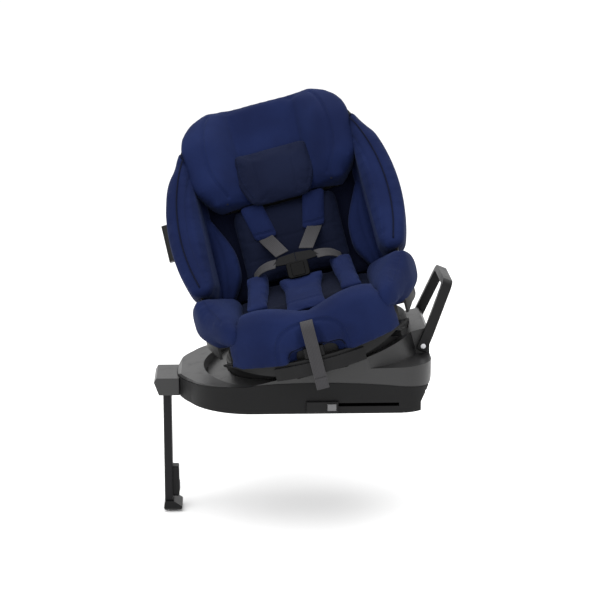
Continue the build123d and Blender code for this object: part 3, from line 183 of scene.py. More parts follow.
class ShaderTree:
    """A material's node tree."""

    def __init__(self, name: str) -> None:
        """Starts an empty material with a Principled shader.

        Args:
            name: The name that it gets.
        """
        self.material = bpy.data.materials.new(name)
        self.material.use_nodes = True
        self.nodes = self.material.node_tree.nodes
        self.links = self.material.node_tree.links
        self.shader = self.nodes["Principled BSDF"]

    def node(self, kind: str, settings: dict, values: dict, output: Union[int, str] = 0) -> Value:
        """Adds any node.

        Args:
            kind: The node's type.
            settings: Its settings, and a colour ramp's stops under "stops".
            values: Its sockets' values or links, by name or number.
            output: The output that is returned.

        Returns:
            The chosen output.
        """
        made = self.nodes.new(kind)
        for key, setting in settings.items():
            if key == "stops":
                for element, (position, shade) in zip(made.color_ramp.elements, setting):
                    element.position = position
                    element.color = (*shade, 1)
            else:
                setattr(made, key, setting)
        self.feed(made, values)
        return Value(self, made.outputs[output])

    def feed(self, made: bpy.types.Node, values: dict) -> None:
        """Sets or links a node's inputs.

        Args:
            made: The node.
            values: The values or links, by socket.
        """
        for key, value in values.items():
            if isinstance(value, Value):
                self.links.new(value.socket, made.inputs[key])
            elif isinstance(value, tuple) and len(value) == 3 and made.inputs[key].type == "RGBA":
                made.inputs[key].default_value = (*value, 1)
            else:
                made.inputs[key].default_value = value

    def math(self, operation: str, *values: Number) -> Value:
        """Adds a Math node."""
        return self.node("ShaderNodeMath", {"operation": operation}, dict(enumerate(values)))

    def sine(self, value: Number) -> Value:
        """The sine of a value."""
        return self.math("SINE", value)

    def mix(self, factor: Number, first: Union[Value, Colour], second: Union[Value, Colour]) -> Value:
        """Mixes two colours."""
        settings = {"data_type": "RGBA"}
        return self.node("ShaderNodeMix", settings, {0: factor, 6: first, 7: second}, 2)

    def noise(self, vector: Value, scale: float, detail: float = 3.0) -> Value:
        """Noise between 0 and 1."""
        values = {"Vector": vector, "Scale": scale, "Detail": detail}
        return self.node("ShaderNodeTexNoise", {}, values, "Fac")

    def band(self, value: Number, low: float, high: float) -> Value:
        """0 below low, 1 above high and smooth between them."""
        settings = {"interpolation_type": "SMOOTHSTEP"}
        return self.node("ShaderNodeMapRange", settings, {"Value": value, "From Min": low, "From Max": high})

    def bump(self, height: Number, strength: float, distance: float, under: Optional[Value] = None) -> Value:
        """A bump normal, laid over another if one is given.

        Args:
            height: The height that the bump follows.
            strength: How strong it is, from 0 to 1.
            distance: How deep it looks, in metres.
            under: The normal beneath it.

        Returns:
            The bumped normal.
        """
        values = {"Height": height, "Strength": strength, "Distance": distance}
        if under is not None:
            values["Normal"] = under
        return self.node("ShaderNodeBump", {}, values)

    def coordinates(self, turn: float = 0.0) -> tuple[Value, Value, Value, Value]:
        """The object's own coordinates.

        Args:
            turn: A turn about Y in degrees, so that a pattern follows a tilted piece.

        Returns:
            The coordinates as a vector and as x, y and z.
        """
        place = self.turned(self.node("ShaderNodeTexCoord", {}, {}, "Object"), turn)
        return place, *self.parts(place)

    def turned(self, vector: Value, turn: float) -> Value:
        """A vector turned about Y."""
        settings = {"rotation_type": "Y_AXIS"}
        return self.node("ShaderNodeVectorRotate", settings, {"Vector": vector, "Angle": math.radians(turn)})

    def parts(self, vector: Value) -> list[Value]:
        """A vector's three numbers."""
        split = self.node("ShaderNodeSeparateXYZ", {}, {"Vector": vector})
        return [Value(self, split.socket.node.outputs[axis]) for axis in "XYZ"]

    def flat_pair(self, turn: float) -> tuple[Value, Value, Value]:
        """Two coordinates that lie along the surface, picked by the way that it faces.

        Args:
            turn: The piece's turn about Y in degrees.

        Returns:
            The whole vector and the two coordinates.
        """
        place, x, y, z = self.coordinates(turn)
        facing = self.turned(self.node("ShaderNodeTexCoord", {}, {}, "Normal"), turn)
        fx, fy, fz = (abs(part) for part in self.parts(facing))
        up = fz > self.math("MAXIMUM", fx, fy)
        aside = fx > self.math("MAXIMUM", fy, fz)
        return place, x + (y - x) * aside, z + (y - z) * up

    def finish(self, values: dict) -> bpy.types.Material:
        """Feeds the Principled shader and returns the material."""
        self.feed(self.shader, values)
        return self.material


# ---- Finishes ----


@dataclass(frozen=True)
class Fabric:
    """A knitted cover fabric: its colour, mesh, fuzz, sheen and soft creases, with painted shade in the
    mesh's pits.
    """

    name: str
    deep: Colour
    light: Colour
    mesh: float = 0.0024
    # How dark the painted shade in the mesh's pits is.
    pit_shade_strength: float = 0.35
    sheen: float = 0.04
    creases: float = 0.35

    def material(self) -> bpy.types.Material:
        """Builds the material.

        Returns:
            The material.
        """
        tree = ShaderTree(self.name)
        place, across, along = tree.flat_pair(TILT)
        pitch = 2 * math.pi / self.mesh
        rows = tree.sine(across * pitch) * tree.sine(along * pitch)
        yarn = 0.5 + rows * 0.5
        fuzz = tree.noise(place, 900, 2)
        mottle = tree.noise(place, 9, 3)
        shade = tree.mix(tree.band(mottle, 0.3, 0.75), self.deep, self.light)
        # Painted shade: the knit's low places between the yarns, and where the fuzz is low, are darkened
        # towards a deeper navy as shade in the pits.
        pit_shade = (1 - yarn) * self.pit_shade_strength + (1 - fuzz) * 0.18
        shade = tree.mix(pit_shade, shade, scaled(self.deep, 0.35))
        creases = tree.noise(place, 17, 2) * self.creases
        soft = tree.bump(creases, 0.5, 0.006)
        knit = tree.bump(yarn * 0.7 + fuzz * 0.5, 0.45, 0.0005, soft)
        return tree.finish({
            "Base Color": shade,
            "Roughness": 0.78 + fuzz * 0.15,
            "Sheen Weight": self.sheen,
            "Sheen Roughness": 0.45,
            "Sheen Tint": (0.45, 0.58, 1.0),
            "Specular IOR Level": 0.08,
            "Normal": knit,
        })


@dataclass(frozen=True)
class Webbing:
    """Woven harness webbing with ribs along it and a twill between them."""

    name: str
    deep: Colour
    light: Colour
    ribs: int = 9

    def material(self) -> bpy.types.Material:
        """Builds the material.

        Returns:
            The material.
        """
        tree = ShaderTree(self.name)
        place = tree.coordinates(TILT)[0]
        lay = tree.node("ShaderNodeUVMap", {"uv_map": "Strap"}, {})
        across, along, _ = tree.parts(lay)
        rib = abs(tree.sine(across * (math.pi * self.ribs)))
        twill = tree.sine(along * (2 * math.pi / 0.0026) + rib * 2.4)
        height = rib * 0.7 + twill * 0.18
        fibre = tree.noise(place, 700, 2)
        worn = tree.noise(place, 25, 3)
        # Painted shade and highlight: the grooves between the ribs are darker and the rib crests lighter,
        # following the bump's height; the fibre noise is random tone.
        shade = tree.mix(rib * 0.6 + fibre * 0.4, self.deep, self.light)
        shade = tree.mix(worn * 0.3, shade, scaled(self.light, 1.35))
        return tree.finish({
            "Base Color": shade,
            "Roughness": 0.55 + fibre * 0.2,
            "Sheen Weight": 0.04,
            "Specular IOR Level": 0.1,
            "Normal": tree.bump(height + fibre * 0.2, 0.6, 0.0004),
        })


@dataclass(frozen=True)
class Plastic:
    """Moulded plastic: a fine spark-eroded grain, faint handling marks and a soft gloss."""

    name: str
    colour: Colour
    roughness: float = 0.45
    grain: float = 0.35
    grain_scale: float = 900.0
    scuffs: float = 0.12
    coat: float = 0.0
    gloss: float = 0.12

    def material(self) -> bpy.types.Material:
        """Builds the material.

        Returns:
            The material.
        """
        tree = ShaderTree(self.name)
        place = tree.coordinates()[0]
        grain = {"Vector": place, "Scale": self.grain_scale}
        pebble = tree.node("ShaderNodeTexVoronoi", {"feature": "SMOOTH_F1"}, grain, "Distance")
        cloudy = tree.noise(place, 7, 4)
        rubbed = tree.band(tree.noise(place, 38, 6), 0.5, 0.78)
        shade = tree.mix(cloudy, scaled(self.colour, 0.86), scaled(self.colour, 1.12))
        shade = tree.mix(rubbed * self.scuffs, shade, scaled(self.colour, 1.8, 0.004))
        return tree.finish({
            "Base Color": shade,
            "Roughness": self.roughness + (cloudy - 0.5) * 0.12 + rubbed * 0.08,
            "Specular IOR Level": self.gloss,
            "Coat Weight": self.coat,
            "Coat Roughness": 0.12,
            "Normal": tree.bump(pebble, self.grain, 0.00025),
        })


@dataclass(frozen=True)
class Metal:
    """Drawn or coated metal with fine lines along one axis."""

    name: str
    colour: Colour
    metallic: float = 1.0
    roughness: float = 0.35
    gloss: float = 0.5
    lines: tuple[float, float, float] = (900.0, 900.0, 12.0)

    def material(self) -> bpy.types.Material:
        """Builds the material.

        Returns:
            The material.
        """
        tree = ShaderTree(self.name)
        place = tree.coordinates()[0]
        settings = {"operation": "MULTIPLY"}
        stretched = tree.node("ShaderNodeVectorMath", settings, {0: place, 1: self.lines})
        drawn = tree.noise(stretched, 1.0, 3)
        patches = tree.noise(place, 14, 3)
        shade = tree.mix(drawn * 0.5 + patches * 0.5, scaled(self.colour, 0.75), scaled(self.colour, 1.2))
        return tree.finish({
            "Base Color": shade,
            "Metallic": self.metallic,
            "Specular IOR Level": self.gloss,
            "Roughness": self.roughness + (drawn - 0.5) * 0.16,
            "Normal": tree.bump(drawn, 0.18, 0.0002),
        })


@dataclass(frozen=True)
class Rubber:
    """Matt moulded rubber with a pebbled skin."""

    name: str
    colour: Colour

    def material(self) -> bpy.types.Material:
        """Builds the material.

        Returns:
            The material.
        """
        tree = ShaderTree(self.name)
        place = tree.coordinates()[0]
        pebble = tree.node("ShaderNodeTexVoronoi", {}, {"Vector": place, "Scale": 450.0}, "Distance")
        dust = tree.noise(place, 30, 4)
        shade = tree.mix(dust * 0.5, self.colour, scaled(self.colour, 2.2, 0.004))
        return tree.finish({
            "Base Color": shade,
            "Roughness": 0.8 + dust * 0.12,
            "Normal": tree.bump(pebble, 0.4, 0.0004),
        })


Finish = Union[Fabric, Webbing, Plastic, Metal, Rubber]


class Finishes:
    """Every finish of the seat, each built once."""

    COVER = Fabric("navy_cover", (0.0046, 0.0090, 0.041), (0.0076, 0.0148, 0.062))
    SMOOTH = Fabric(
        "navy_smooth", (0.0036, 0.0058, 0.020), (0.006, 0.0094, 0.029), mesh=0.0016, pit_shade_strength=0.22
    )
    INSERT = Fabric(
        "insert_navy", (0.003, 0.0048, 0.0155), (0.0048, 0.0076, 0.0225), mesh=0.0018, pit_shade_strength=0.25
    )
    DARK = Fabric("insert_dark", (0.0012, 0.0021, 0.008), (0.0023, 0.0036, 0.0125), mesh=0.0018)
    # The inner covers' fabric: its coarser mesh is the fabric's own, and its colour, darker than the cover
    # fabric's, is painted shade for the backrest and seat cushion covers that lie deep between the side pads
    # and under the insert.
    INNER_PAINTED_SHADE = Fabric(
        "inner_mesh_painted_shade", (0.0014, 0.0026, 0.0115), (0.0026, 0.0042, 0.0165), mesh=0.003, pit_shade_strength=0.5
    )
    PIPING = Fabric("piping_dark", (0.002, 0.003, 0.012), (0.004, 0.006, 0.02), mesh=0.0012)
    THREAD = Fabric("seam_thread", (0.006, 0.011, 0.042), (0.010, 0.018, 0.06), mesh=0.001)
    WEBBING = Webbing("harness_webbing", (0.016, 0.0155, 0.0165), (0.042, 0.041, 0.044))
    COVER_PLASTIC = Plastic("base_cover_plastic", (0.0125, 0.0125, 0.013), roughness=0.36, gloss=0.4)
    TRAY_PLASTIC = Plastic("tray_plastic", (0.006, 0.006, 0.0063), roughness=0.5)
    SHELL_PLASTIC = Plastic("shell_plastic", (0.0105, 0.0105, 0.011), roughness=0.44)
    TRIM_PLASTIC = Plastic("trim_plastic", (0.007, 0.007, 0.0074), roughness=0.36, scuffs=0.2)
    BUTTON_PLASTIC = Plastic("button_plastic", (0.12, 0.12, 0.124), roughness=0.35, scuffs=0.1)
    BUCKLE_PLASTIC = Plastic("buckle_plastic", (0.0018, 0.0018, 0.002), roughness=0.24, grain=0.1, gloss=0.05)
    TONGUE_PLASTIC = Plastic("tongue_plastic", (0.0055, 0.0055, 0.006), roughness=0.5, gloss=0.08)
    STEEL = Metal("steel", (0.5, 0.5, 0.52), roughness=0.28)
    LEG_METAL = Metal("leg_metal", (0.009, 0.009, 0.0098), metallic=0.2, roughness=0.42, gloss=0.15)
    RUBBER = Rubber("sole_rubber", (0.012, 0.012, 0.012))

    def __init__(self) -> None:
        """Starts with no material built."""
        self.built: dict[str, bpy.types.Material] = {}

    def material(self, finish: Finish) -> bpy.types.Material:
        """The material of a finish.

        Args:
            finish: The finish.

        Returns:
            The material.
        """
        if finish.name not in self.built:
            self.built[finish.name] = finish.material()
        return self.built[finish.name]


# ---- Mesh tools ----


def new_object(name: str, points: np.ndarray, faces: Sequence[Sequence[int]]) -> bpy.types.Object:
    """A mesh object in the scene, shaded smooth.

    Args:
        name: The name that it gets.
        points: Its points.
        faces: Its faces, as indices into the points.

    Returns:
        The object.
    """
    mesh = bpy.data.meshes.new(name)
    mesh.from_pydata([tuple(p) for p in points], [], [tuple(f) for f in faces])
    mesh.polygons.foreach_set("use_smooth", [True] * len(mesh.polygons))
    made = bpy.data.objects.new(name, mesh)
    bpy.context.scene.collection.objects.link(made)
    return made


def read_points(piece: bpy.types.Object) -> np.ndarray:
    """A mesh's vertices.

    Args:
        piece: The piece.

    Returns:
        The vertices as rows, in metres.
    """
    points = np.zeros(len(piece.data.vertices) * 3)
    piece.data.vertices.foreach_get("co", points)
    return points.reshape(-1, 3)


def write_points(piece: bpy.types.Object, points: np.ndarray) -> None:
    """Moves a mesh's vertices."""
    piece.data.vertices.foreach_set("co", np.ascontiguousarray(points).ravel())
    piece.data.update()


def read_normals(piece: bpy.types.Object) -> np.ndarray:
    """A mesh's vertex normals.

    Args:
        piece: The piece.

    Returns:
        The normals as rows.
    """
    normals = np.zeros(len(piece.data.vertices) * 3)
    piece.data.vertex_normals.foreach_get("vector", normals)
    return normals.reshape(-1, 3)


def bake_modifiers(piece: bpy.types.Object) -> None:
    """Replaces a piece's mesh by its mesh with modifiers, and removes them.

    Args:
        piece: The piece.
    """
    shown = piece.evaluated_get(bpy.context.evaluated_depsgraph_get())
    mesh = bpy.data.meshes.new_from_object(shown)
    piece.modifiers.clear()
    piece.data = mesh
    mesh.polygons.foreach_set("use_smooth", [True] * len(mesh.polygons))


def voxel_remesh(piece: bpy.types.Object, size: float) -> None:
    """Gives a closed mesh even faces.

    Args:
        piece: The piece.
        size: Its size in metres.
    """
    remesh = piece.modifiers.new("even", "REMESH")
    remesh.mode = "VOXEL"
    remesh.voxel_size = size
    bake_modifiers(piece)


def subdivide(piece: bpy.types.Object, levels: int = 1) -> None:
    """Subdivides a mesh smoothly.

    Args:
        piece: The piece.
        levels: How many times each face is split.
    """
    finer = piece.modifiers.new("finer", "SUBSURF")
    finer.levels = finer.render_levels = levels
    bake_modifiers(piece)


def relax(piece: bpy.types.Object, rounds: int, share: float = 0.5) -> None:
    """Rounds a mesh by moving each vertex towards the middle of its neighbours.

    Args:
        piece: The piece.
        rounds: How often the points are moved.
        share: How far they move each time, from 0 to 1.
    """
    edges = np.zeros(len(piece.data.edges) * 2, int)
    piece.data.edges.foreach_get("vertices", edges)
    first, second = edges.reshape(-1, 2).T
    points = read_points(piece)
    count = np.bincount(first, minlength=len(points)) + np.bincount(second, minlength=len(points))
    for _ in range(rounds):
        total = np.zeros_like(points)
        np.add.at(total, first, points[second])
        np.add.at(total, second, points[first])
        points += share * (total / np.maximum(count, 1)[:, None] - points)
    write_points(piece, points)


def smooth_line(points: Sequence[Sequence[float]], spacing: float) -> np.ndarray:
    """A Catmull-Rom curve through points, sampled about every spacing.

    Args:
        points: Its points.
        spacing: About how far apart the samples are.

    Returns:
        The curve's points as rows.
    """
    nodes = np.asarray(points, float)
    padded = np.vstack([2 * nodes[0] - nodes[1], nodes, 2 * nodes[-1] - nodes[-2]])
    line = []
    for a, b, c, d in zip(padded, padded[1:], padded[2:], padded[3:]):
        count = max(2, int(np.linalg.norm(c - b) / spacing))
        for t in np.linspace(0, 1, count, endpoint=False):
            square, cube = 2 * a - 5 * b + 4 * c - d, 3 * b - a - 3 * c + d
            line.append(0.5 * (2 * b + (c - a) * t + square * t**2 + cube * t**3))
    line.append(nodes[-1])
    return np.array(line)


def ring_faces(start: int, rings: int, sides: int) -> list[tuple[int, ...]]:
    """The faces of a skin over rings of points, with both ends closed.

    Args:
        start: The first point's index.
        rings: How many rings there are.
        sides: How many points each ring has.

    Returns:
        The faces, as indices into the points.
    """
    faces = []
    for ring in range(rings - 1):
        low = start + ring * sides
        for k in range(sides):
            nearer, further = low + k, low + (k + 1) % sides
            faces.append((nearer, further, further + sides, nearer + sides))
    last = start + (rings - 1) * sides
    faces.append(tuple(start + k for k in reversed(range(sides))))
    faces.append(tuple(last + k for k in range(sides)))
    return faces


def tube(name: str, lines: Sequence[np.ndarray], radius: float, sides: int = 8) -> bpy.types.Object:
    """Round cords along one or more lines, with closed ends.

    Args:
        name: The piece's name.
        lines: The lines in the row frame.
        radius: The cord's radius.
        sides: How many sides it has.

    Returns:
        The cords as one mesh.
    """
    points, faces = [], []
    angles = np.linspace(0, 2 * math.pi, sides, endpoint=False)
    for line in lines:
        start = len(points)
        along = np.gradient(line, axis=0)
        along /= np.linalg.norm(along, axis=1)[:, None] + 1e-12
        side = np.cross(along[0], (0.31, 0.52, 0.8))
        for centre, tangent in zip(line, along):
            side = side - tangent * (side @ tangent)
            side /= np.linalg.norm(side)
            other = np.cross(tangent, side)
            points += [centre + radius * (math.cos(a) * side + math.sin(a) * other) for a in angles]
        faces += ring_faces(start, len(line), sides)
    return new_object(name, np.array(points), faces)


def ribbon(
    name: str, runs: Sequence[tuple[np.ndarray, np.ndarray]], width: float, thickness: float
) -> bpy.types.Object:
    """Flat webbing with rounded edges.

    Args:
        name: The piece's name.
        runs: For each strap, its centre line and the way that its face looks, in the row frame.
        width: The strap's width.
        thickness: Its thickness.

    Returns:
        The straps as one mesh, with a map of the place across and along them.
    """
    lanes = 8
    top = [(x, 1.0) for x in np.linspace(-0.47, 0.47, lanes)]
    profile = np.array([(-0.5, 0.0), *top, (0.5, 0.0), *[(x, -1.0) for x, _ in reversed(top)]])
    sides = len(profile)
    points, faces, chart = [], [], []
    for line, looks in runs:
        start = len(points)
        along = np.gradient(line, axis=0)
        along /= np.linalg.norm(along, axis=1)[:, None]
        length = 0.0
        for index, (centre, tangent, look) in enumerate(zip(line, along, looks)):
            across = np.cross(tangent, look)
            across /= np.linalg.norm(across)
            face = np.cross(across, tangent)
            length += np.linalg.norm(centre - line[max(index - 1, 0)])
            for x, z in profile:
                points.append(centre + across * x * width + face * z * thickness / 2)
                chart.append((x + 0.5, length))
        faces += ring_faces(start, len(line), sides)
    made = new_object(name, np.array(points), faces)
    layer = made.data.uv_layers.new(name="Strap")
    for loop in made.data.loops:
        layer.data[loop.index].uv = chart[loop.vertex_index]
    return made


# ---- Padded pieces ----


@dataclass(frozen=True)
class Stitching:
    """A row of short stitches beside a seam, in metres."""

    beside: float = 0.0055
    half_length: float = 0.0013
    lift: float = 0.0002
    radius: float = 0.00045
    sides: int = 5


@dataclass(frozen=True)
class Stuffing:
    """How the cloth of a stuffed cover behaves in the simulation."""

    quality: int = 4
    mass: float = 0.25
    stiffness: float = 12.0
    bending: float = 0.4


STITCHING = Stitching()
STUFFING = Stuffing()


@dataclass(frozen=True)
class Seam:
    """A sewn line on a pad.

    Args:
        points: The line's points in the pad's frame, in millimetres.
        aim: The direction in which they are laid onto the pad.
        depth: How deep the seam pulls in, in millimetres.
        width: How wide the pull is, in millimetres.
        cord: The radius of a cord laid in it, or 0.
        stitched: Whether a row of stitches runs along it.
    """

    points: tuple[tuple[float, float, float], ...]
    aim: tuple[float, float, float]
    depth: float = 3.0
    width: float = 3.5
    cord: float = 0.0
    stitched: bool = False

    def mirrored(self) -> "Seam":
        """The same seam on the other side.

        Returns:
            The mirrored seam.
        """
        points = tuple((-x, y, z) for x, y, z in self.points)
        aim = (-self.aim[0], self.aim[1], self.aim[2])
        return Seam(points, aim, self.depth, self.width, self.cord, self.stitched)


def both_sides(*seams: Seam) -> tuple[Seam, ...]:
    """Each seam followed by its mirror image."""
    return tuple(each for seam in seams for each in (seam, seam.mirrored()))


@dataclass
class SoftPad:
    """A stuffed piece: a start shape that is remeshed, rounded, blown up by cloth simulation and sewn.

    Args:
        name: The piece's name.
        nodes: The CAD nodes that it stands for. The first gives its start shape, unless start does.
        place: The frame that its shaper and seams use.
        finish: Its fabric.
        slot: The record's material slot; it is not used.
        body: The body that it rides on.
        voxel: The remesh size in millimetres.
        rounding: How many rounds of rounding it gets.
        pressure: The air pressure of the simulation.
        swell: How far a point may move in the simulation, in millimetres.
        fill: How full it is; it is not used.
        grow: How far the rounded shape is moved out, in millimetres.
        shaper: A function that shapes its points before it is blown up.
        wrap: A function that draws the rounded cover over the shell's edges.
        start: A mesh to start from instead of the CAD node.
        seams: Its sewn lines.
    """

    name: str
    nodes: tuple[str, ...]
    place: Place
    finish: Finish
    slot: Slot = Slot.COVER
    body: str = "seat"
    voxel: float = 5.0
    rounding: int = 12
    pressure: float = 4.0
    swell: float = 6.0
    fill: float = 0.6
    grow: float = 0.0
    shaper: Optional[Shaper] = None
    wrap: Optional[Shaper] = None
    start: Optional[Callable[[], tuple[np.ndarray, list]]] = None
    seams: tuple[Seam, ...] = ()
    piece: Optional[bpy.types.Object] = field(default=None, repr=False)
    rest: Optional[np.ndarray] = field(default=None, repr=False)

    def cut(self) -> None:
        """Makes the start shape, with even faces and round edges."""
        if self.start is None:
            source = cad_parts[self.nodes[0]]
            mesh = source.data.copy()
            mesh.materials.clear()
            self.piece = bpy.data.objects.new(self.name, mesh)
            bpy.context.scene.collection.objects.link(self.piece)
            mesh.name = self.name
            weld = self.piece.modifiers.new("weld", "WELD")
            weld.merge_threshold = WELD_GAP
        else:
            points, faces = self.start()
            self.piece = new_object(self.name, self.place.to_row(points), faces)
        voxel_remesh(self.piece, self.voxel * MM)
        if self.shaper is not None:
            own = self.place.to_own(read_points(self.piece))
            write_points(self.piece, self.place.to_row(self.shaper(own)))
        relax(self.piece, self.rounding)
        write_points(self.piece, read_points(self.piece) + read_normals(self.piece) * self.grow * MM)
        if self.wrap is not None:
            own = self.place.to_own(read_points(self.piece))
            write_points(self.piece, self.place.to_row(self.wrap(own)))
        self.rest = read_points(self.piece)

    def hang_cloth(self, frames: int) -> None:
        """Adds the cloth simulation.

        Args:
            frames: How many frames the simulation has.
        """
        cloth = self.piece.modifiers.new("stuffing", "CLOTH")
        cloth.settings.quality = STUFFING.quality
        cloth.settings.mass = STUFFING.mass
        cloth.settings.tension_stiffness = STUFFING.stiffness
        cloth.settings.compression_stiffness = STUFFING.stiffness
        cloth.settings.bending_stiffness = STUFFING.bending
        cloth.settings.use_pressure = True
        cloth.settings.uniform_pressure_force = self.pressure
        cloth.settings.effector_weights.gravity = 0
        cloth.collision_settings.use_collision = False
        cloth.point_cache.frame_start = 1
        cloth.point_cache.frame_end = frames

    def take_cloth(self) -> None:
        """Keeps the blown-up shape, with each point's move capped."""
        shown = self.piece.evaluated_get(bpy.context.evaluated_depsgraph_get())
        points = np.zeros(len(shown.data.vertices) * 3)
        shown.data.vertices.foreach_get("co", points)
        move = points.reshape(-1, 3) - self.rest
        size = np.linalg.norm(move, axis=1)[:, None]
        cap = self.swell * MM
        self.piece.modifiers.clear()
        write_points(self.piece, self.rest + move * np.tanh(size / cap) * cap / np.maximum(size, 1e-9))

    def trace(self, seam: Seam, tree: BVHTree) -> np.ndarray:
        """A seam's line laid onto the pad, as points on its surface.

        Args:
            seam: The seam.
            tree: The pad's surface.

        Returns:
            The line's points as rows, in metres.
        """
        line = smooth_line(seam.points, CURVE_STEP)
        aim = self.place.direction(seam.aim)
        laid = []
        for point in self.place.to_row(line):
            hit = tree.ray_cast(Vector(point) - aim * RAY_START, aim)[0]
            if hit is None:
                hit = tree.find_nearest(Vector(point))[0]
            laid.append(hit)
        laid = np.array(laid)
        laid[1:-1] = (laid[:-2] + laid[1:-1] * 2 + laid[2:]) / 4
        return laid

    def sew(self, finishes: Finishes) -> None:
        """Pulls the seams in and lays their cords and stitches.

        Args:
            finishes: The finishes that its material comes from.
        """
        cords, stitches = [], []
        for seam in self.seams:
            tree = BVHTree.FromObject(self.piece, bpy.context.evaluated_depsgraph_get())
            line = self.trace(seam, tree)
            points, normals = read_points(self.piece), read_normals(self.piece)
            near = np.full(len(points), 1.0)
            for part in np.array_split(line, max(1, len(line) // 40)):
                gap = np.linalg.norm(points[:, None, :] - part[None, :, :], axis=2).min(axis=1)
                near = np.minimum(near, gap)
            pull = np.exp(-((near / (seam.width * MM)) ** 2)) * seam.depth * MM
            write_points(self.piece, points - normals * pull[:, None])
            if seam.cord:
                cords.append((line, seam))
            if seam.stitched:
                stitches.append((line, seam))
        self.lay_cords(cords, finishes)
        self.lay_stitches(stitches, finishes)

    def lay_cords(self, cords: list, finishes: Finishes) -> None:
        """Lays a round cord in each corded seam, as one piece.

        Args:
            cords: Each corded seam with its line.
            finishes: The finishes that its material comes from.
        """
        if not cords:
            return
        radius = cords[0][1].cord * MM
        piping = tube(f"{self.name}_piping", [line for line, _ in cords], radius)
        dress(piping, finishes.material(Finishes.PIPING), self.body)

    def lay_stitches(self, rows: list, finishes: Finishes) -> None:
        """Lays a row of short stitches beside each stitched seam, as one piece.

        Args:
            rows: Each stitched seam with its line.
            finishes: The finishes that its material comes from.
        """
        if not rows:
            return
        tree = BVHTree.FromObject(self.piece, bpy.context.evaluated_depsgraph_get())
        dashes = []
        for line, _ in rows:
            along = np.gradient(line, axis=0)
            for index in range(1, len(line) - 1):
                place, normal, _, _ = tree.find_nearest(Vector(line[index]))
                beside = normal.cross(Vector(along[index])).normalized() * STITCHING.beside
                place, normal, _, _ = tree.find_nearest(Vector(line[index]) + beside)
                run = Vector(along[index]).normalized() * STITCHING.half_length
                lift = normal * STITCHING.lift
                dashes.append(np.array([place - run, place + lift, place + run]))
        thread = tube(f"{self.name}_stitches", dashes, STITCHING.radius, STITCHING.sides)
        dress(thread, finishes.material(Finishes.THREAD), self.body)

    def complete(self, finishes: Finishes) -> bpy.types.Object:
        """Args:
            finishes: The finishes that its material comes from.

        Returns:
            The finished piece.
        """
        subdivide(self.piece)
        self.sew(finishes)
        dress(self.piece, finishes.material(self.finish), self.body)
        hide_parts(*self.nodes)
        return self.piece


def dress(piece: bpy.types.Object, material: bpy.types.Material, body: str) -> None:
    """Gives a piece its material and body.

    Args:
        piece: The piece.
        material: Its material.
        body: The body that it rides on.
    """
    piece.data.materials.clear()
    piece.data.materials.append(material)
    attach(piece, body)
    LOG.info("piece %s on %s, %d faces", piece.name, body, len(piece.data.polygons))


def step(value: np.ndarray, low: float, high: float) -> np.ndarray:
    """A smooth rise from 0 at low to 1 at high."""
    t = np.clip((value - low) / (high - low), 0, 1)
    return t * t * (3 - 2 * t)


def bell(value: np.ndarray, middle: float, width: float) -> np.ndarray:
    """A smooth hump of height 1."""
    return np.exp(-(((value - middle) / width) ** 2))


# ---- Sub-assemblies ----


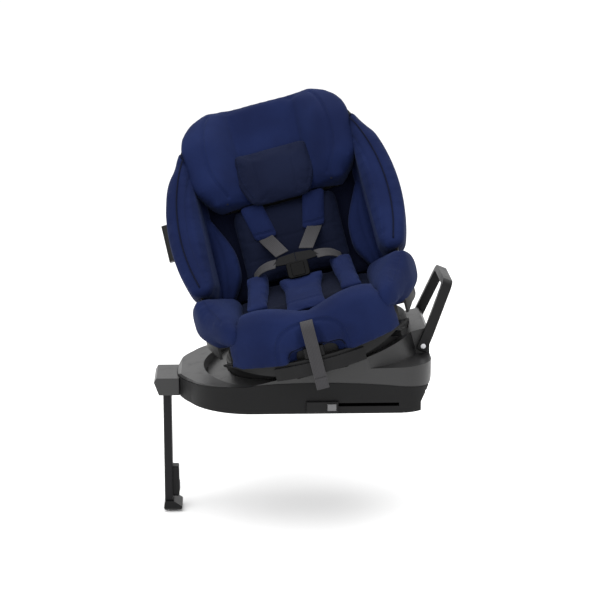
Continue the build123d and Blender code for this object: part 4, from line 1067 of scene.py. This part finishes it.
@dataclass
class SeatCovers:
    """The covers of the seat part: front roll, thigh bolsters and cushion."""

    dip: float = 17.0
    dip_width: float = 46.0
    crest: float = 5.0
    crest_place: float = 94.0
    flap_puff: float = 3.0
    strap_bed: float = 223.0

    def shape_roll(self, own: np.ndarray) -> np.ndarray:
        """Dips the front roll between the legs and raises it over each thigh.

        Args:
            own: The pad's points in its own frame, in millimetres.

        Returns:
            The moved points.
        """
        u, v, w = own.T
        top = step(w, 88, 140)
        own[:, 2] = w + top * (
            self.crest * bell(np.abs(u), self.crest_place, 36)
            - self.dip * bell(u, 0, self.dip_width)
            - 10 * step(np.abs(u), 118, 175)
        )
        radius = np.hypot(u, v)
        inside = (1 - step(np.abs(u + 8), 52, 72)) * (1 - step(w, 108, 126)) * step(radius, 214, 224)
        own[:, 1] = v + self.flap_puff * inside
        return own

    def wrap_roll(self, own: np.ndarray) -> np.ndarray:
        """Draws the roll's ends back to meet the bolsters and its rear down to the cushion.

        Args:
            own: The pad's points in its own frame, in millimetres.

        Returns:
            The moved points.
        """
        u, v, w = own.T
        ends = step(np.abs(u), 126, 150)
        own[:, 1] = v - 9 * ends * (1 - step(v, 152, 176)) - 5 * (1 - ends) * (1 - step(v, 132, 150))
        own[:, 2] = w - 3 * (1 - step(w, 56, 74))
        behind_strap = (1 - step(np.abs(u + 6), 16, 34)) * (1 - step(w, 118, 134))
        own[:, 1] -= behind_strap * np.maximum(own[:, 1] - self.strap_bed, 0)
        return own

    def shape_bolsters(self, own: np.ndarray) -> np.ndarray:
        """Draws the bolsters' tips in and rounds their outer faces.

        Args:
            own: The pad's points in its own frame, in millimetres.

        Returns:
            The moved points.
        """
        u, v, w = own.T
        high = step(w, 128, 170)
        own[:, 0] = u - np.sign(u) * 5 * high
        own[:, 1] = v - (v - 52) * 0.22 * high
        return own

    def wrap_bolsters(self, own: np.ndarray) -> np.ndarray:
        """Draws the bolsters over the shell's side edges.

        Args:
            own: The pad's points in its own frame, in millimetres.

        Returns:
            The moved points.
        """
        u, v, w = own.T
        outer = step(np.abs(u), 176, 206)
        high = step(w, 104, 150)
        own[:, 0] = u + np.sign(u) * (11 * outer * step(w, 88, 112) + 4 * step(v, 100, 140))
        own[:, 2] = w + 11 * high
        own[:, 1] = v + 17 * step(v, 90, 140)
        return own

    def pads(self) -> list[SoftPad]:
        """The covers as pads.

        Returns:
            The pads.
        """
        flap = ((-77, 215, 54), (-74, 222, 84), (-64, 224, 106), (-44, 222, 119), (-16, 220, 124),
                (14, 220, 124), (40, 222, 118), (56, 224, 104), (62, 222, 82), (63, 218, 54))
        hem = ((-57, 222, 62), (-50, 225, 73), (-38, 226, 77), (0, 228, 78),
               (38, 226, 77), (50, 225, 73), (57, 222, 62))
        forward = (0, -1, 0)
        long_seam = ((210, 18, 170), (196, 70, 158), (180, 112, 140), (166, 140, 122))
        bolster_seam = Seam(long_seam, (-0.3, -0.2, -1), 2.4, 4.0, stitched=True)
        return [
            SoftPad(
                "front_roll_cover", ("front_roll",), SEAT, Finishes.COVER, rounding=9, swell=6,
                fill=0.75, grow=2.5,
                shaper=self.shape_roll, wrap=self.wrap_roll,
                seams=(Seam(flap, forward, 3.2, 4.0, stitched=True), Seam(hem, forward, 0.6, 3.0, cord=1.4)),
            ),
            SoftPad(
                "thigh_bolster_covers", ("thigh_bolsters",), SEAT, Finishes.COVER, rounding=9, swell=6,
                fill=0.7, grow=6,
                shaper=self.shape_bolsters, wrap=self.wrap_bolsters,
                seams=both_sides(bolster_seam),
            ),
            SoftPad(
                "seat_cushion_cover", ("seat_cushion",), SEAT, Finishes.INNER_PAINTED_SHADE, rounding=6, swell=3,
                fill=0.7, grow=3,
            ),
        ]


@dataclass
class BackCovers:
    """The covers of the backrest: outer wings, slim side pads and the back itself."""

    bottom_half: float = 205.0
    widest_half: float = 225.0
    widest_height: float = 195.0
    top_half: float = 172.0
    top_height: float = 345.0

    def half_width(self, height: float) -> float:
        """The back's half width at a height, on the circle through its three set points.

        Args:
            height: The height up the back, in millimetres.

        Returns:
            The half width in millimetres.
        """
        bottom = complex(self.bottom_half, 0)
        middle = complex(self.widest_half, self.widest_height)
        top = complex(self.top_half, self.top_height)
        ratio = (top - bottom) / (middle - bottom)
        centre = (middle - bottom) * (ratio - abs(ratio) ** 2) / (2j * ratio.imag) + bottom
        radius = abs(bottom - centre)
        return centre.real + math.sqrt(max(radius**2 - (height - centre.imag) ** 2, 0.0))

    def shape_side_pads(self, own: np.ndarray) -> np.ndarray:
        """Tapers the slim pads towards both ends, along their outer edge.

        Args:
            own: The pad's points in its own frame, in millimetres.

        Returns:
            The moved points.
        """
        u, s, n = own.T
        outer = 172.0
        share = 1 - 0.72 * step(s, 95, 205) - 0.5 * (1 - step(s, 0, 62))
        own[:, 0] = np.sign(u) * (outer - (outer - np.abs(u)) * share)
        own[:, 2] = -2 + (n + 2) * (0.7 + 0.4 * share)
        return own

    def shape_wings(self, own: np.ndarray) -> np.ndarray:
        """Opens the wings a little towards the front and rolls their inner faces.

        Args:
            own: The pad's points in its own frame, in millimetres.

        Returns:
            The moved points.
        """
        u, s, n = own.T
        front = step(n, 40, 140)
        own[:, 0] = u + np.sign(u) * 3 * front * (np.abs(u) < 205)
        return own

    def wrap_wings(self, own: np.ndarray) -> np.ndarray:
        """Draws the wing covers over the shell's front edge and out to its side.

        Args:
            own: The pad's points in its own frame, in millimetres.

        Returns:
            The moved points.
        """
        u, s, n = own.T
        ahead = step(n, 20, 80)
        within = 1 - step(n, 6, 44)
        outward = 12 * step(np.abs(u), 192, 212) * ahead - 13 * within
        own[:, 0] = u + np.sign(u) * outward
        own[:, 1] = s + 14 * step(s, 280, 350) * ahead - 16 * step(s, 270, 345) * within
        own[:, 2] = n + 9 * step(n, 60, 120)
        return own

    def pads(self) -> list[SoftPad]:
        """The covers as pads.

        Returns:
            The pads.
        """
        heights = (22, 70, 120, 170, 220, 270, 315, 345)
        depth = 110.0
        edge = tuple((self.half_width(s) - 10.5, s, depth) for s in heights)
        inner = tuple((self.half_width(s) - 33, s, depth) for s in (40, 110, 180, 250, 310))
        wing = Seam(edge, INWARDS, 1.6, 3.5, cord=1.5)
        wing_inner = Seam(inner, INWARDS, 2.0, 4.0, stitched=True)
        slim_line = ((160, 12, 30), (152, 60, 30), (150, 110, 30), (156, 160, 30), (163, 190, 30))
        slim = Seam(slim_line, INWARDS, 1.5, 4.0)
        panel = Seam(((118, 30, 0), (118, 110, 0), (118, 190, 0)), INWARDS, 2.0, 4.0)
        return [
            SoftPad(
                "wing_covers", ("wing_pads",), BACK, Finishes.COVER, rounding=14, swell=5, fill=0.7, grow=3.5,
                shaper=self.shape_wings, wrap=self.wrap_wings,
                seams=both_sides(wing, wing_inner),
            ),
            SoftPad(
                "slim_side_pads", ("side_pads",), BACK, Finishes.COVER, voxel=4.0, rounding=18,
                swell=5, fill=0.8,
                shaper=self.shape_side_pads, seams=both_sides(slim),
            ),
            SoftPad(
                "backrest_cover", ("backrest_pad",), BACK, Finishes.INNER_PAINTED_SHADE, rounding=6, swell=2.5, fill=0.6,
                seams=both_sides(panel),
            ),
        ]


@dataclass
class NewbornInsert:
    """The padded insert for a small child: back, seat, hip pads and crotch pad."""

    thigh_dish: float = 4.0
    hip_rise: float = 15.0

    def shape_seat(self, own: np.ndarray) -> np.ndarray:
        """Dishes the insert under each thigh.

        Args:
            own: The pad's points in its own frame, in millimetres.

        Returns:
            The moved points.
        """
        u, v, w = own.T
        own[:, 2] = w - self.thigh_dish * bell(np.abs(u), 56, 20) * step(w, 132, 142)
        return own

    def shape_hips(self, own: np.ndarray) -> np.ndarray:
        """Narrows the hip pads towards the front and lets them lean outwards.

        Args:
            own: The pad's points in its own frame, in millimetres.

        Returns:
            The moved points.
        """
        u, v, w = own.T
        lean = 9 * step(v, -40, 110)
        own[:, 0] = u + np.sign(u) * (lean - 3)
        own[:, 2] = w + (5 * bell(v, 30, 50) + self.hip_rise * (1 - step(v, -50, 60))) * step(w, 146, 156)
        return own

    def shape_crotch(self, own: np.ndarray) -> np.ndarray:
        """Hollows the crotch pad's end round the buckle.

        Args:
            own: The pad's points in its own frame, in millimetres.

        Returns:
            The moved points.
        """
        u, v, w = own.T
        rear = 1 - step(v, -6, 50)
        own[:, 2] = w + 12 * rear - 8 * step(v, 60, 124) - 4 * bell(u, 0, 20) * step(w, 146, 154)
        own[:, 0] = u * (1 + 0.12 * rear)
        own[:, 1] = v + 24 * step(v, 60, 124)
        return own

    def pads(self) -> list[SoftPad]:
        """The insert's pieces as pads.

        Returns:
            The pads.
        """
        across = tuple(((-96, s, 30), (0, s - 3, 30), (96, s, 30)) for s in (78, 118))
        quilt = tuple(Seam(line, INWARDS, 1.2, 4.0) for line in across)
        hem = Seam(((-34, 118, 150), (0, 119, 150), (34, 118, 150)), INWARDS, 1.2, 3.0, stitched=True)
        hip = Seam(((104, -30, 160), (110, 30, 160), (114, 96, 150)), INWARDS, 1.6, 3.5, stitched=True)
        return [
            SoftPad(
                "insert_back_pad", ("insert_back",), BACK, Finishes.INSERT, Slot.INSERT, rounding=14, swell=5,
                fill=0.5, seams=quilt,
            ),
            SoftPad(
                "insert_seat_pad", ("insert_seat",), SEAT, Finishes.DARK, Slot.INSERT, rounding=10, swell=4,
                fill=0.5, shaper=self.shape_seat,
            ),
            SoftPad(
                "insert_hip_pads", ("hip_pads",), SEAT, Finishes.COVER, Slot.INSERT, voxel=3.5, rounding=14,
                swell=5, fill=0.6, shaper=self.shape_hips, seams=both_sides(hip),
            ),
            SoftPad(
                "crotch_pad_cover", ("crotch_pad",), SEAT, Finishes.COVER, Slot.INSERT, voxel=3.5,
                rounding=10,
                swell=4, fill=0.6, shaper=self.shape_crotch, seams=(hem,),
            ),
        ]


@dataclass
class Headrest:
    """The headrest's padding, its small pillow and the shoulder pads that ride with the harness."""

    half: float = 177.0
    low: float = 194.0
    high: float = 422.0
    back: float = 6.8
    hollow: float = 40.0
    wing: float = 103.0

    def outline_half(self, s: np.ndarray) -> np.ndarray:
        """The pad's half width at a height."""
        top = 1 - 0.34 * np.clip((s - 325) / 97, 0, 1) ** 2.4
        return self.half * top * (1 - 0.2 * np.clip((262 - s) / 58, 0, 1) ** 1.8)

    def front(self, u: np.ndarray, s: np.ndarray) -> np.ndarray:
        """How far the pad's face stands forward: a flat hollow that rises into two wings.

        Args:
            u: The place across.
            s: The place up the back.

        Returns:
            The distance forward, in millimetres.
        """
        rise = step(np.abs(u), 54, 132)
        reach = self.wing - 50 * np.clip((s - 326) / 92, 0, 1) ** 1.4 - 16 * np.clip((235 - s) / 30, 0, 1)
        roll = 8 * np.clip((s - 392) / 26, 0, 1) ** 2
        return self.hollow - roll + (reach - self.hollow) * rise

    def start_shape(self) -> tuple[np.ndarray, list]:
        """The pad as a closed grid.

        Returns:
            Its points in the back's frame and its faces.
        """
        columns, rows = 68, 42
        share = np.linspace(-1, 1, columns)
        heights = np.linspace(self.low, self.high, rows)
        a, s = np.meshgrid(share, heights)
        u = a * self.outline_half(s)
        face = np.stack([u, s, self.front(u, s)], axis=2).reshape(-1, 3)
        rear = np.stack([u, s, np.full_like(u, self.back)], axis=2).reshape(-1, 3)
        count = columns * rows
        faces = []
        for j in range(rows - 1):
            for i in range(columns - 1):
                k = j * columns + i
                faces.append((k, k + 1, k + 1 + columns, k + columns))
                faces.append((count + k, count + k + columns, count + k + 1 + columns, count + k + 1))
        rim = [i for i in range(columns)]
        rim += [j * columns + columns - 1 for j in range(1, rows)]
        rim += [(rows - 1) * columns + i for i in reversed(range(columns - 1))]
        rim += [j * columns for j in reversed(range(1, rows - 1))]
        for k, following in zip(rim, rim[1:] + rim[:1]):
            faces.append((k, count + k, count + following, following))
        return np.vstack([face, rear]), faces

    def shape_pillow(self, own: np.ndarray) -> np.ndarray:
        """Crowns the pillow and bends it into the headrest's hollow.

        Args:
            own: The pad's points in its own frame, in millimetres.

        Returns:
            The moved points.
        """
        u, s, n = own.T
        face = step(n, 44, 60)
        own[:, 2] = n + face * 5 * (bell(s, 246, 60) - 0.5) + 3 * bell(np.abs(u), 80, 18)
        return own

    def pads(self) -> list[SoftPad]:
        """The headrest's pieces as pads.

        Returns:
            The pads.
        """
        side = ((113, 402, 60), (126, 372, 80), (133, 330, 96),
                (133, 285, 97), (125, 250, 95), (106, 214, 80))
        fold = ((68, 402, 40), (66, 350, 44), (64, 300, 44), (66, 250, 44))
        seam = Seam(side, INWARDS, 3.0, 3.6, stitched=True)
        crease = Seam(fold, INWARDS, 3.5, 9.0)
        pillow = Seam(((44, 296, 62), (42, 246, 62), (38, 196, 62)), INWARDS, 1.8, 4.5)
        rim = Seam(((76, 292, 60), (76, 245, 60), (58, 198, 60)), INWARDS, 1.4, 3.5, stitched=True)
        pad_hem = tuple(
            Seam(((x - 20, 129, 40), (x, 128, 40), (x + 20, 129, 40)), INWARDS, 1.6, 3.0, stitched=True)
            for x in (-53, 53)
        )
        return [
            SoftPad(
                "headrest_cover", ("headrest_pad",), BACK, Finishes.COVER, body="headrest", rounding=18,
                swell=6,
                fill=0.7, start=self.start_shape, seams=both_sides(seam, crease),
            ),
            SoftPad(
                "head_pillow_cover", ("head_pillow",), BACK, Finishes.SMOOTH, Slot.INSERT, "headrest",
                voxel=4.0,
                rounding=14, swell=6, fill=0.8, shaper=self.shape_pillow,
                seams=both_sides(pillow, rim),
            ),
            SoftPad(
                "shoulder_pad_covers", ("shoulder_pads",), BACK, Finishes.COVER, Slot.INSERT, "headrest",
                voxel=2.5,
                rounding=8, swell=3, fill=0.5, seams=pad_hem,
            ),
        ]


@dataclass
class Harness:
    """The webbing of the five-point harness and its adjuster strap."""

    shoulder_width: float = 30.0
    lap_width: float = 26.0
    crotch_width: float = 38.0
    adjuster_width: float = 25.0
    thickness: float = 1.6
    adjuster_side: float = -6.0

    def run(self, points: Sequence[Sequence[float]], looks: Sequence[Sequence[float]]) -> tuple:
        """A strap's line and the way that it faces, from points in the seat's frame.

        Args:
            points: Its points.
            looks: The way that the strap faces, at even shares of its length.

        Returns:
            The line in the row frame, and the facing at each of its points.
        """
        line = smooth_line(points, STRAP_STEP)
        share = np.linspace(0, len(looks) - 1, len(line))
        stations = range(len(looks))
        facing = np.stack([np.interp(share, stations, part) for part in np.array(looks).T], axis=1)
        return SEAT.to_row(line), facing @ np.array(SEAT.axes)

    def build(self, finishes: Finishes) -> None:
        """Builds the straps in place of their CAD solids.

        Args:
            finishes: The finishes that its material comes from.
        """
        webbing = finishes.material(Finishes.WEBBING)
        shoulders, laps = [], []
        for side in (-1, 1):
            shoulders.append(self.run(
                (
                    (side * 56, -128, 238), (side * 50, -113, 231),
                    (side * 37, -67, 222), (side * 25, -24, 213.5),
                ),
                ((0, 0.85, 0.5), (0, 0.75, 0.62), (0, 0.62, 0.78)),
            ))
            laps.append(self.run(
                ((side * 42, -8, 200), (side * 60, -14, 198), (side * 78, -28, 189), (side * 93, -46, 172)),
                ((0, 0.5, 0.86), (side * 0.35, 0.45, 0.8), (side * 0.8, 0.3, 0.5)),
            ))
        crotch = self.run(((0, -8, 90), (0, -8, 125), (0, -7, 158)), ((0, 1, 0), (0, 1, 0.1)))
        pieces = [
            ribbon("shoulder_webbing", shoulders, self.shoulder_width * MM, self.thickness * MM),
            ribbon("lap_webbing", laps, self.lap_width * MM, self.thickness * MM),
            ribbon("crotch_webbing", [crotch], self.crotch_width * MM, self.thickness * MM),
        ]
        for piece in pieces:
            dress(piece, webbing, "seat")
        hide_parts("harness_straps")
        x = self.adjuster_side
        strap = self.run(
            (
                (x, 216, 127), (x, 224, 124), (x, 231, 117), (x, 233.6, 104),
                (x, 234, 60), (x, 233.6, 24), (x, 233.3, -8),
            ),
            ((0, 0.3, 1), (0, 0.9, 0.5), (0, 1, 0.05), (0, 1, 0), (0, 1, 0), (0, 1, 0)),
        )
        adjuster = ribbon("adjuster_webbing", [strap], self.adjuster_width * MM, self.thickness * MM)
        dress(adjuster, webbing, "seat")
        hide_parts("adjuster_strap", "adjuster_strap_tail")
        self.sew_tail(finishes)

    def sew_tail(self, finishes: Finishes) -> None:
        """Lays a folded-back layer of webbing over the end of the adjuster strap.

        Args:
            finishes: The finishes that its material comes from.
        """
        x = self.adjuster_side
        fold = self.run(((x, 235.4, 14), (x, 235.5, 4), (x, 235.2, -8)), ((0, 1, 0), (0, 1, 0)))
        hem = ribbon("adjuster_webbing_hem", [fold], self.adjuster_width * MM, self.thickness * MM)
        dress(hem, finishes.material(Finishes.WEBBING), "seat")


class HardParts:
    """The carried-over CAD nodes and the finish that each one gets."""

    FINISHES: dict[str, Finish] = {
        "base_tray": Finishes.TRAY_PLASTIC,
        "base_cover": Finishes.COVER_PLASTIC,
        "leg_bracket": Finishes.COVER_PLASTIC,
        "turntable": Finishes.SHELL_PLASTIC,
        "swivel_bearing_ring": Finishes.TRIM_PLASTIC,
        "swivel_release_lever": Finishes.TRIM_PLASTIC,
        "seat_shell": Finishes.SHELL_PLASTIC,
        "recline_rails": Finishes.SHELL_PLASTIC,
        "recline_lever": Finishes.TRIM_PLASTIC,
        "back_shell": Finishes.SHELL_PLASTIC,
        "rear_housing": Finishes.SHELL_PLASTIC,
        "headrest_shell": Finishes.SHELL_PLASTIC,
        "headrest_handle": Finishes.TRIM_PLASTIC,
        "impact_wing": Finishes.TRIM_PLASTIC,
        "buckle_housing": Finishes.BUCKLE_PLASTIC,
        "buckle_button": Finishes.BUCKLE_PLASTIC,
        "harness_tongues": Finishes.TONGUE_PLASTIC,
        "harness_adjuster": Finishes.TRIM_PLASTIC,
        "adjuster_button": Finishes.BUTTON_PLASTIC,
        "leg_outer_tube": Finishes.LEG_METAL,
        "leg_inner_tube": Finishes.LEG_METAL,
        "leg_adjuster": Finishes.TRIM_PLASTIC,
        "leg_button": Finishes.BUTTON_PLASTIC,
        "leg_foot": Finishes.TRIM_PLASTIC,
        "foot_pad": Finishes.RUBBER,
        "rebound_bar": Finishes.TRIM_PLASTIC,
    }
    BY_START: dict[str, Finish] = {
        "isofix_guide": Finishes.TRAY_PLASTIC,
        "isofix_arm": Finishes.TRIM_PLASTIC,
        "isofix_slider": Finishes.TRIM_PLASTIC,
        "isofix_release": Finishes.BUTTON_PLASTIC,
    }

    def dress(self, finishes: Finishes) -> None:
        """Gives every CAD node that stays its finish. What has no plastic or coat is steel.

        Args:
            finishes: The finishes that its material comes from.
        """
        for name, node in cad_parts.items():
            finish = self.FINISHES.get(name)
            for start, grouped in self.BY_START.items():
                if name.startswith(start):
                    finish = grouped
            material = finishes.material(finish or Finishes.STEEL)
            node.data.materials.clear()
            node.data.materials.append(material)
            LOG.info("node %s gets %s", name, material.name)


@dataclass
class Studio:
    """A plain pale floor, soft lights and the camera."""

    LAMPS = (
        ("key_light", (-0.9, -1.1, 2.4), 2.4, 46),
        ("top_light", (0.5, 0.7, 2.6), 2.2, 40),
        ("front_light", (0.6, -3.2, 1.2), 2.0, 14),
    )
    target: tuple[float, float, float] = (0.0, 0.0, 0.185)
    distance: float = 3.78
    azimuth: float = -2.0
    elevation: float = 14.0
    lens: float = 111.0
    floor_z: float = -0.2605
    floor_reach: float = 40.0
    sky: float = 1.1

    def build(self) -> None:
        """Builds the floor, the lights and the camera."""
        self.lay_floor()
        for lamp in self.LAMPS:
            self.light(*lamp)
        world = bpy.data.worlds.new("studio")
        world.use_nodes = True
        world.node_tree.nodes["Background"].inputs["Color"].default_value = (1, 1, 1, 1)
        world.node_tree.nodes["Background"].inputs["Strength"].default_value = self.sky
        bpy.context.scene.world = world
        bpy.context.scene.view_settings.view_transform = "Standard"
        self.set_camera()

    def lay_floor(self) -> None:
        """Lays the floor under the leg's foot."""
        reach = self.floor_reach
        corners = np.array([(-reach, -reach, 0), (reach, -reach, 0), (reach, reach, 0), (-reach, reach, 0)])
        floor = new_object("floor", corners + (0, 0, self.floor_z), [(0, 1, 2, 3)])
        tree = ShaderTree("floor_paint")
        tree.finish({"Base Color": (0.97, 0.97, 0.97), "Roughness": 0.9})
        floor.data.materials.append(tree.material)

    def light(self, name: str, place: tuple[float, float, float], size: float, power: float) -> None:
        """Adds a square soft light that faces the seat.

        Args:
            name: The name that it gets.
            place: Where it stands, in metres.
            size: Its size in metres.
            power: Its power in watts.
        """
        lamp = bpy.data.lights.new(name, "AREA")
        lamp.size = size
        lamp.energy = power
        holder = bpy.data.objects.new(name, lamp)
        holder.location = place
        holder.rotation_euler = (Vector(self.target) - Vector(place)).to_track_quat("-Z", "Y").to_euler()
        bpy.context.scene.collection.objects.link(holder)

    def set_camera(self) -> None:
        """Sets the camera at the viewing angle."""
        data = bpy.data.cameras.new("camera")
        data.lens = self.lens
        camera = bpy.data.objects.new("camera", data)
        a, e = math.radians(self.azimuth), math.radians(self.elevation)
        back = Vector((math.sin(a) * math.cos(e), -math.cos(a) * math.cos(e), math.sin(e)))
        camera.location = Vector(self.target) + back * self.distance
        camera.rotation_euler = (-back).to_track_quat("-Z", "Y").to_euler()
        bpy.context.scene.collection.objects.link(camera)
        bpy.context.scene.camera = camera


class Workshop:
    """Cuts, blows up and completes every padded piece together."""

    FRAMES = 20

    def __init__(self, pads: Sequence[SoftPad], finishes: Finishes) -> None:
        """Takes the pads and the finishes."""
        self.pads = pads
        self.finishes = finishes

    def run(self) -> None:
        """Makes the pads."""
        for pad in self.pads:
            pad.cut()
        self.simulate()
        for pad in self.pads:
            pad.complete(self.finishes)

    def simulate(self) -> None:
        """Steps all the cloth simulations side by side."""
        scene = bpy.context.scene
        for pad in self.pads:
            pad.hang_cloth(self.FRAMES)
        for number in range(1, self.FRAMES + 1):
            scene.frame_set(number)
        for pad in self.pads:
            pad.take_cloth()
        scene.frame_set(1)


def main() -> None:
    """Builds the looks in order."""
    logging.basicConfig(level=logging.INFO, format="%(name)s %(message)s")
    finishes = Finishes()
    Studio().build()
    HardParts().dress(finishes)
    pads = [*SeatCovers().pads(), *BackCovers().pads(), *NewbornInsert().pads(), *Headrest().pads()]
    Workshop(pads, finishes).run()
    Harness().build(finishes)


if __name__ == "__main__":
    main()
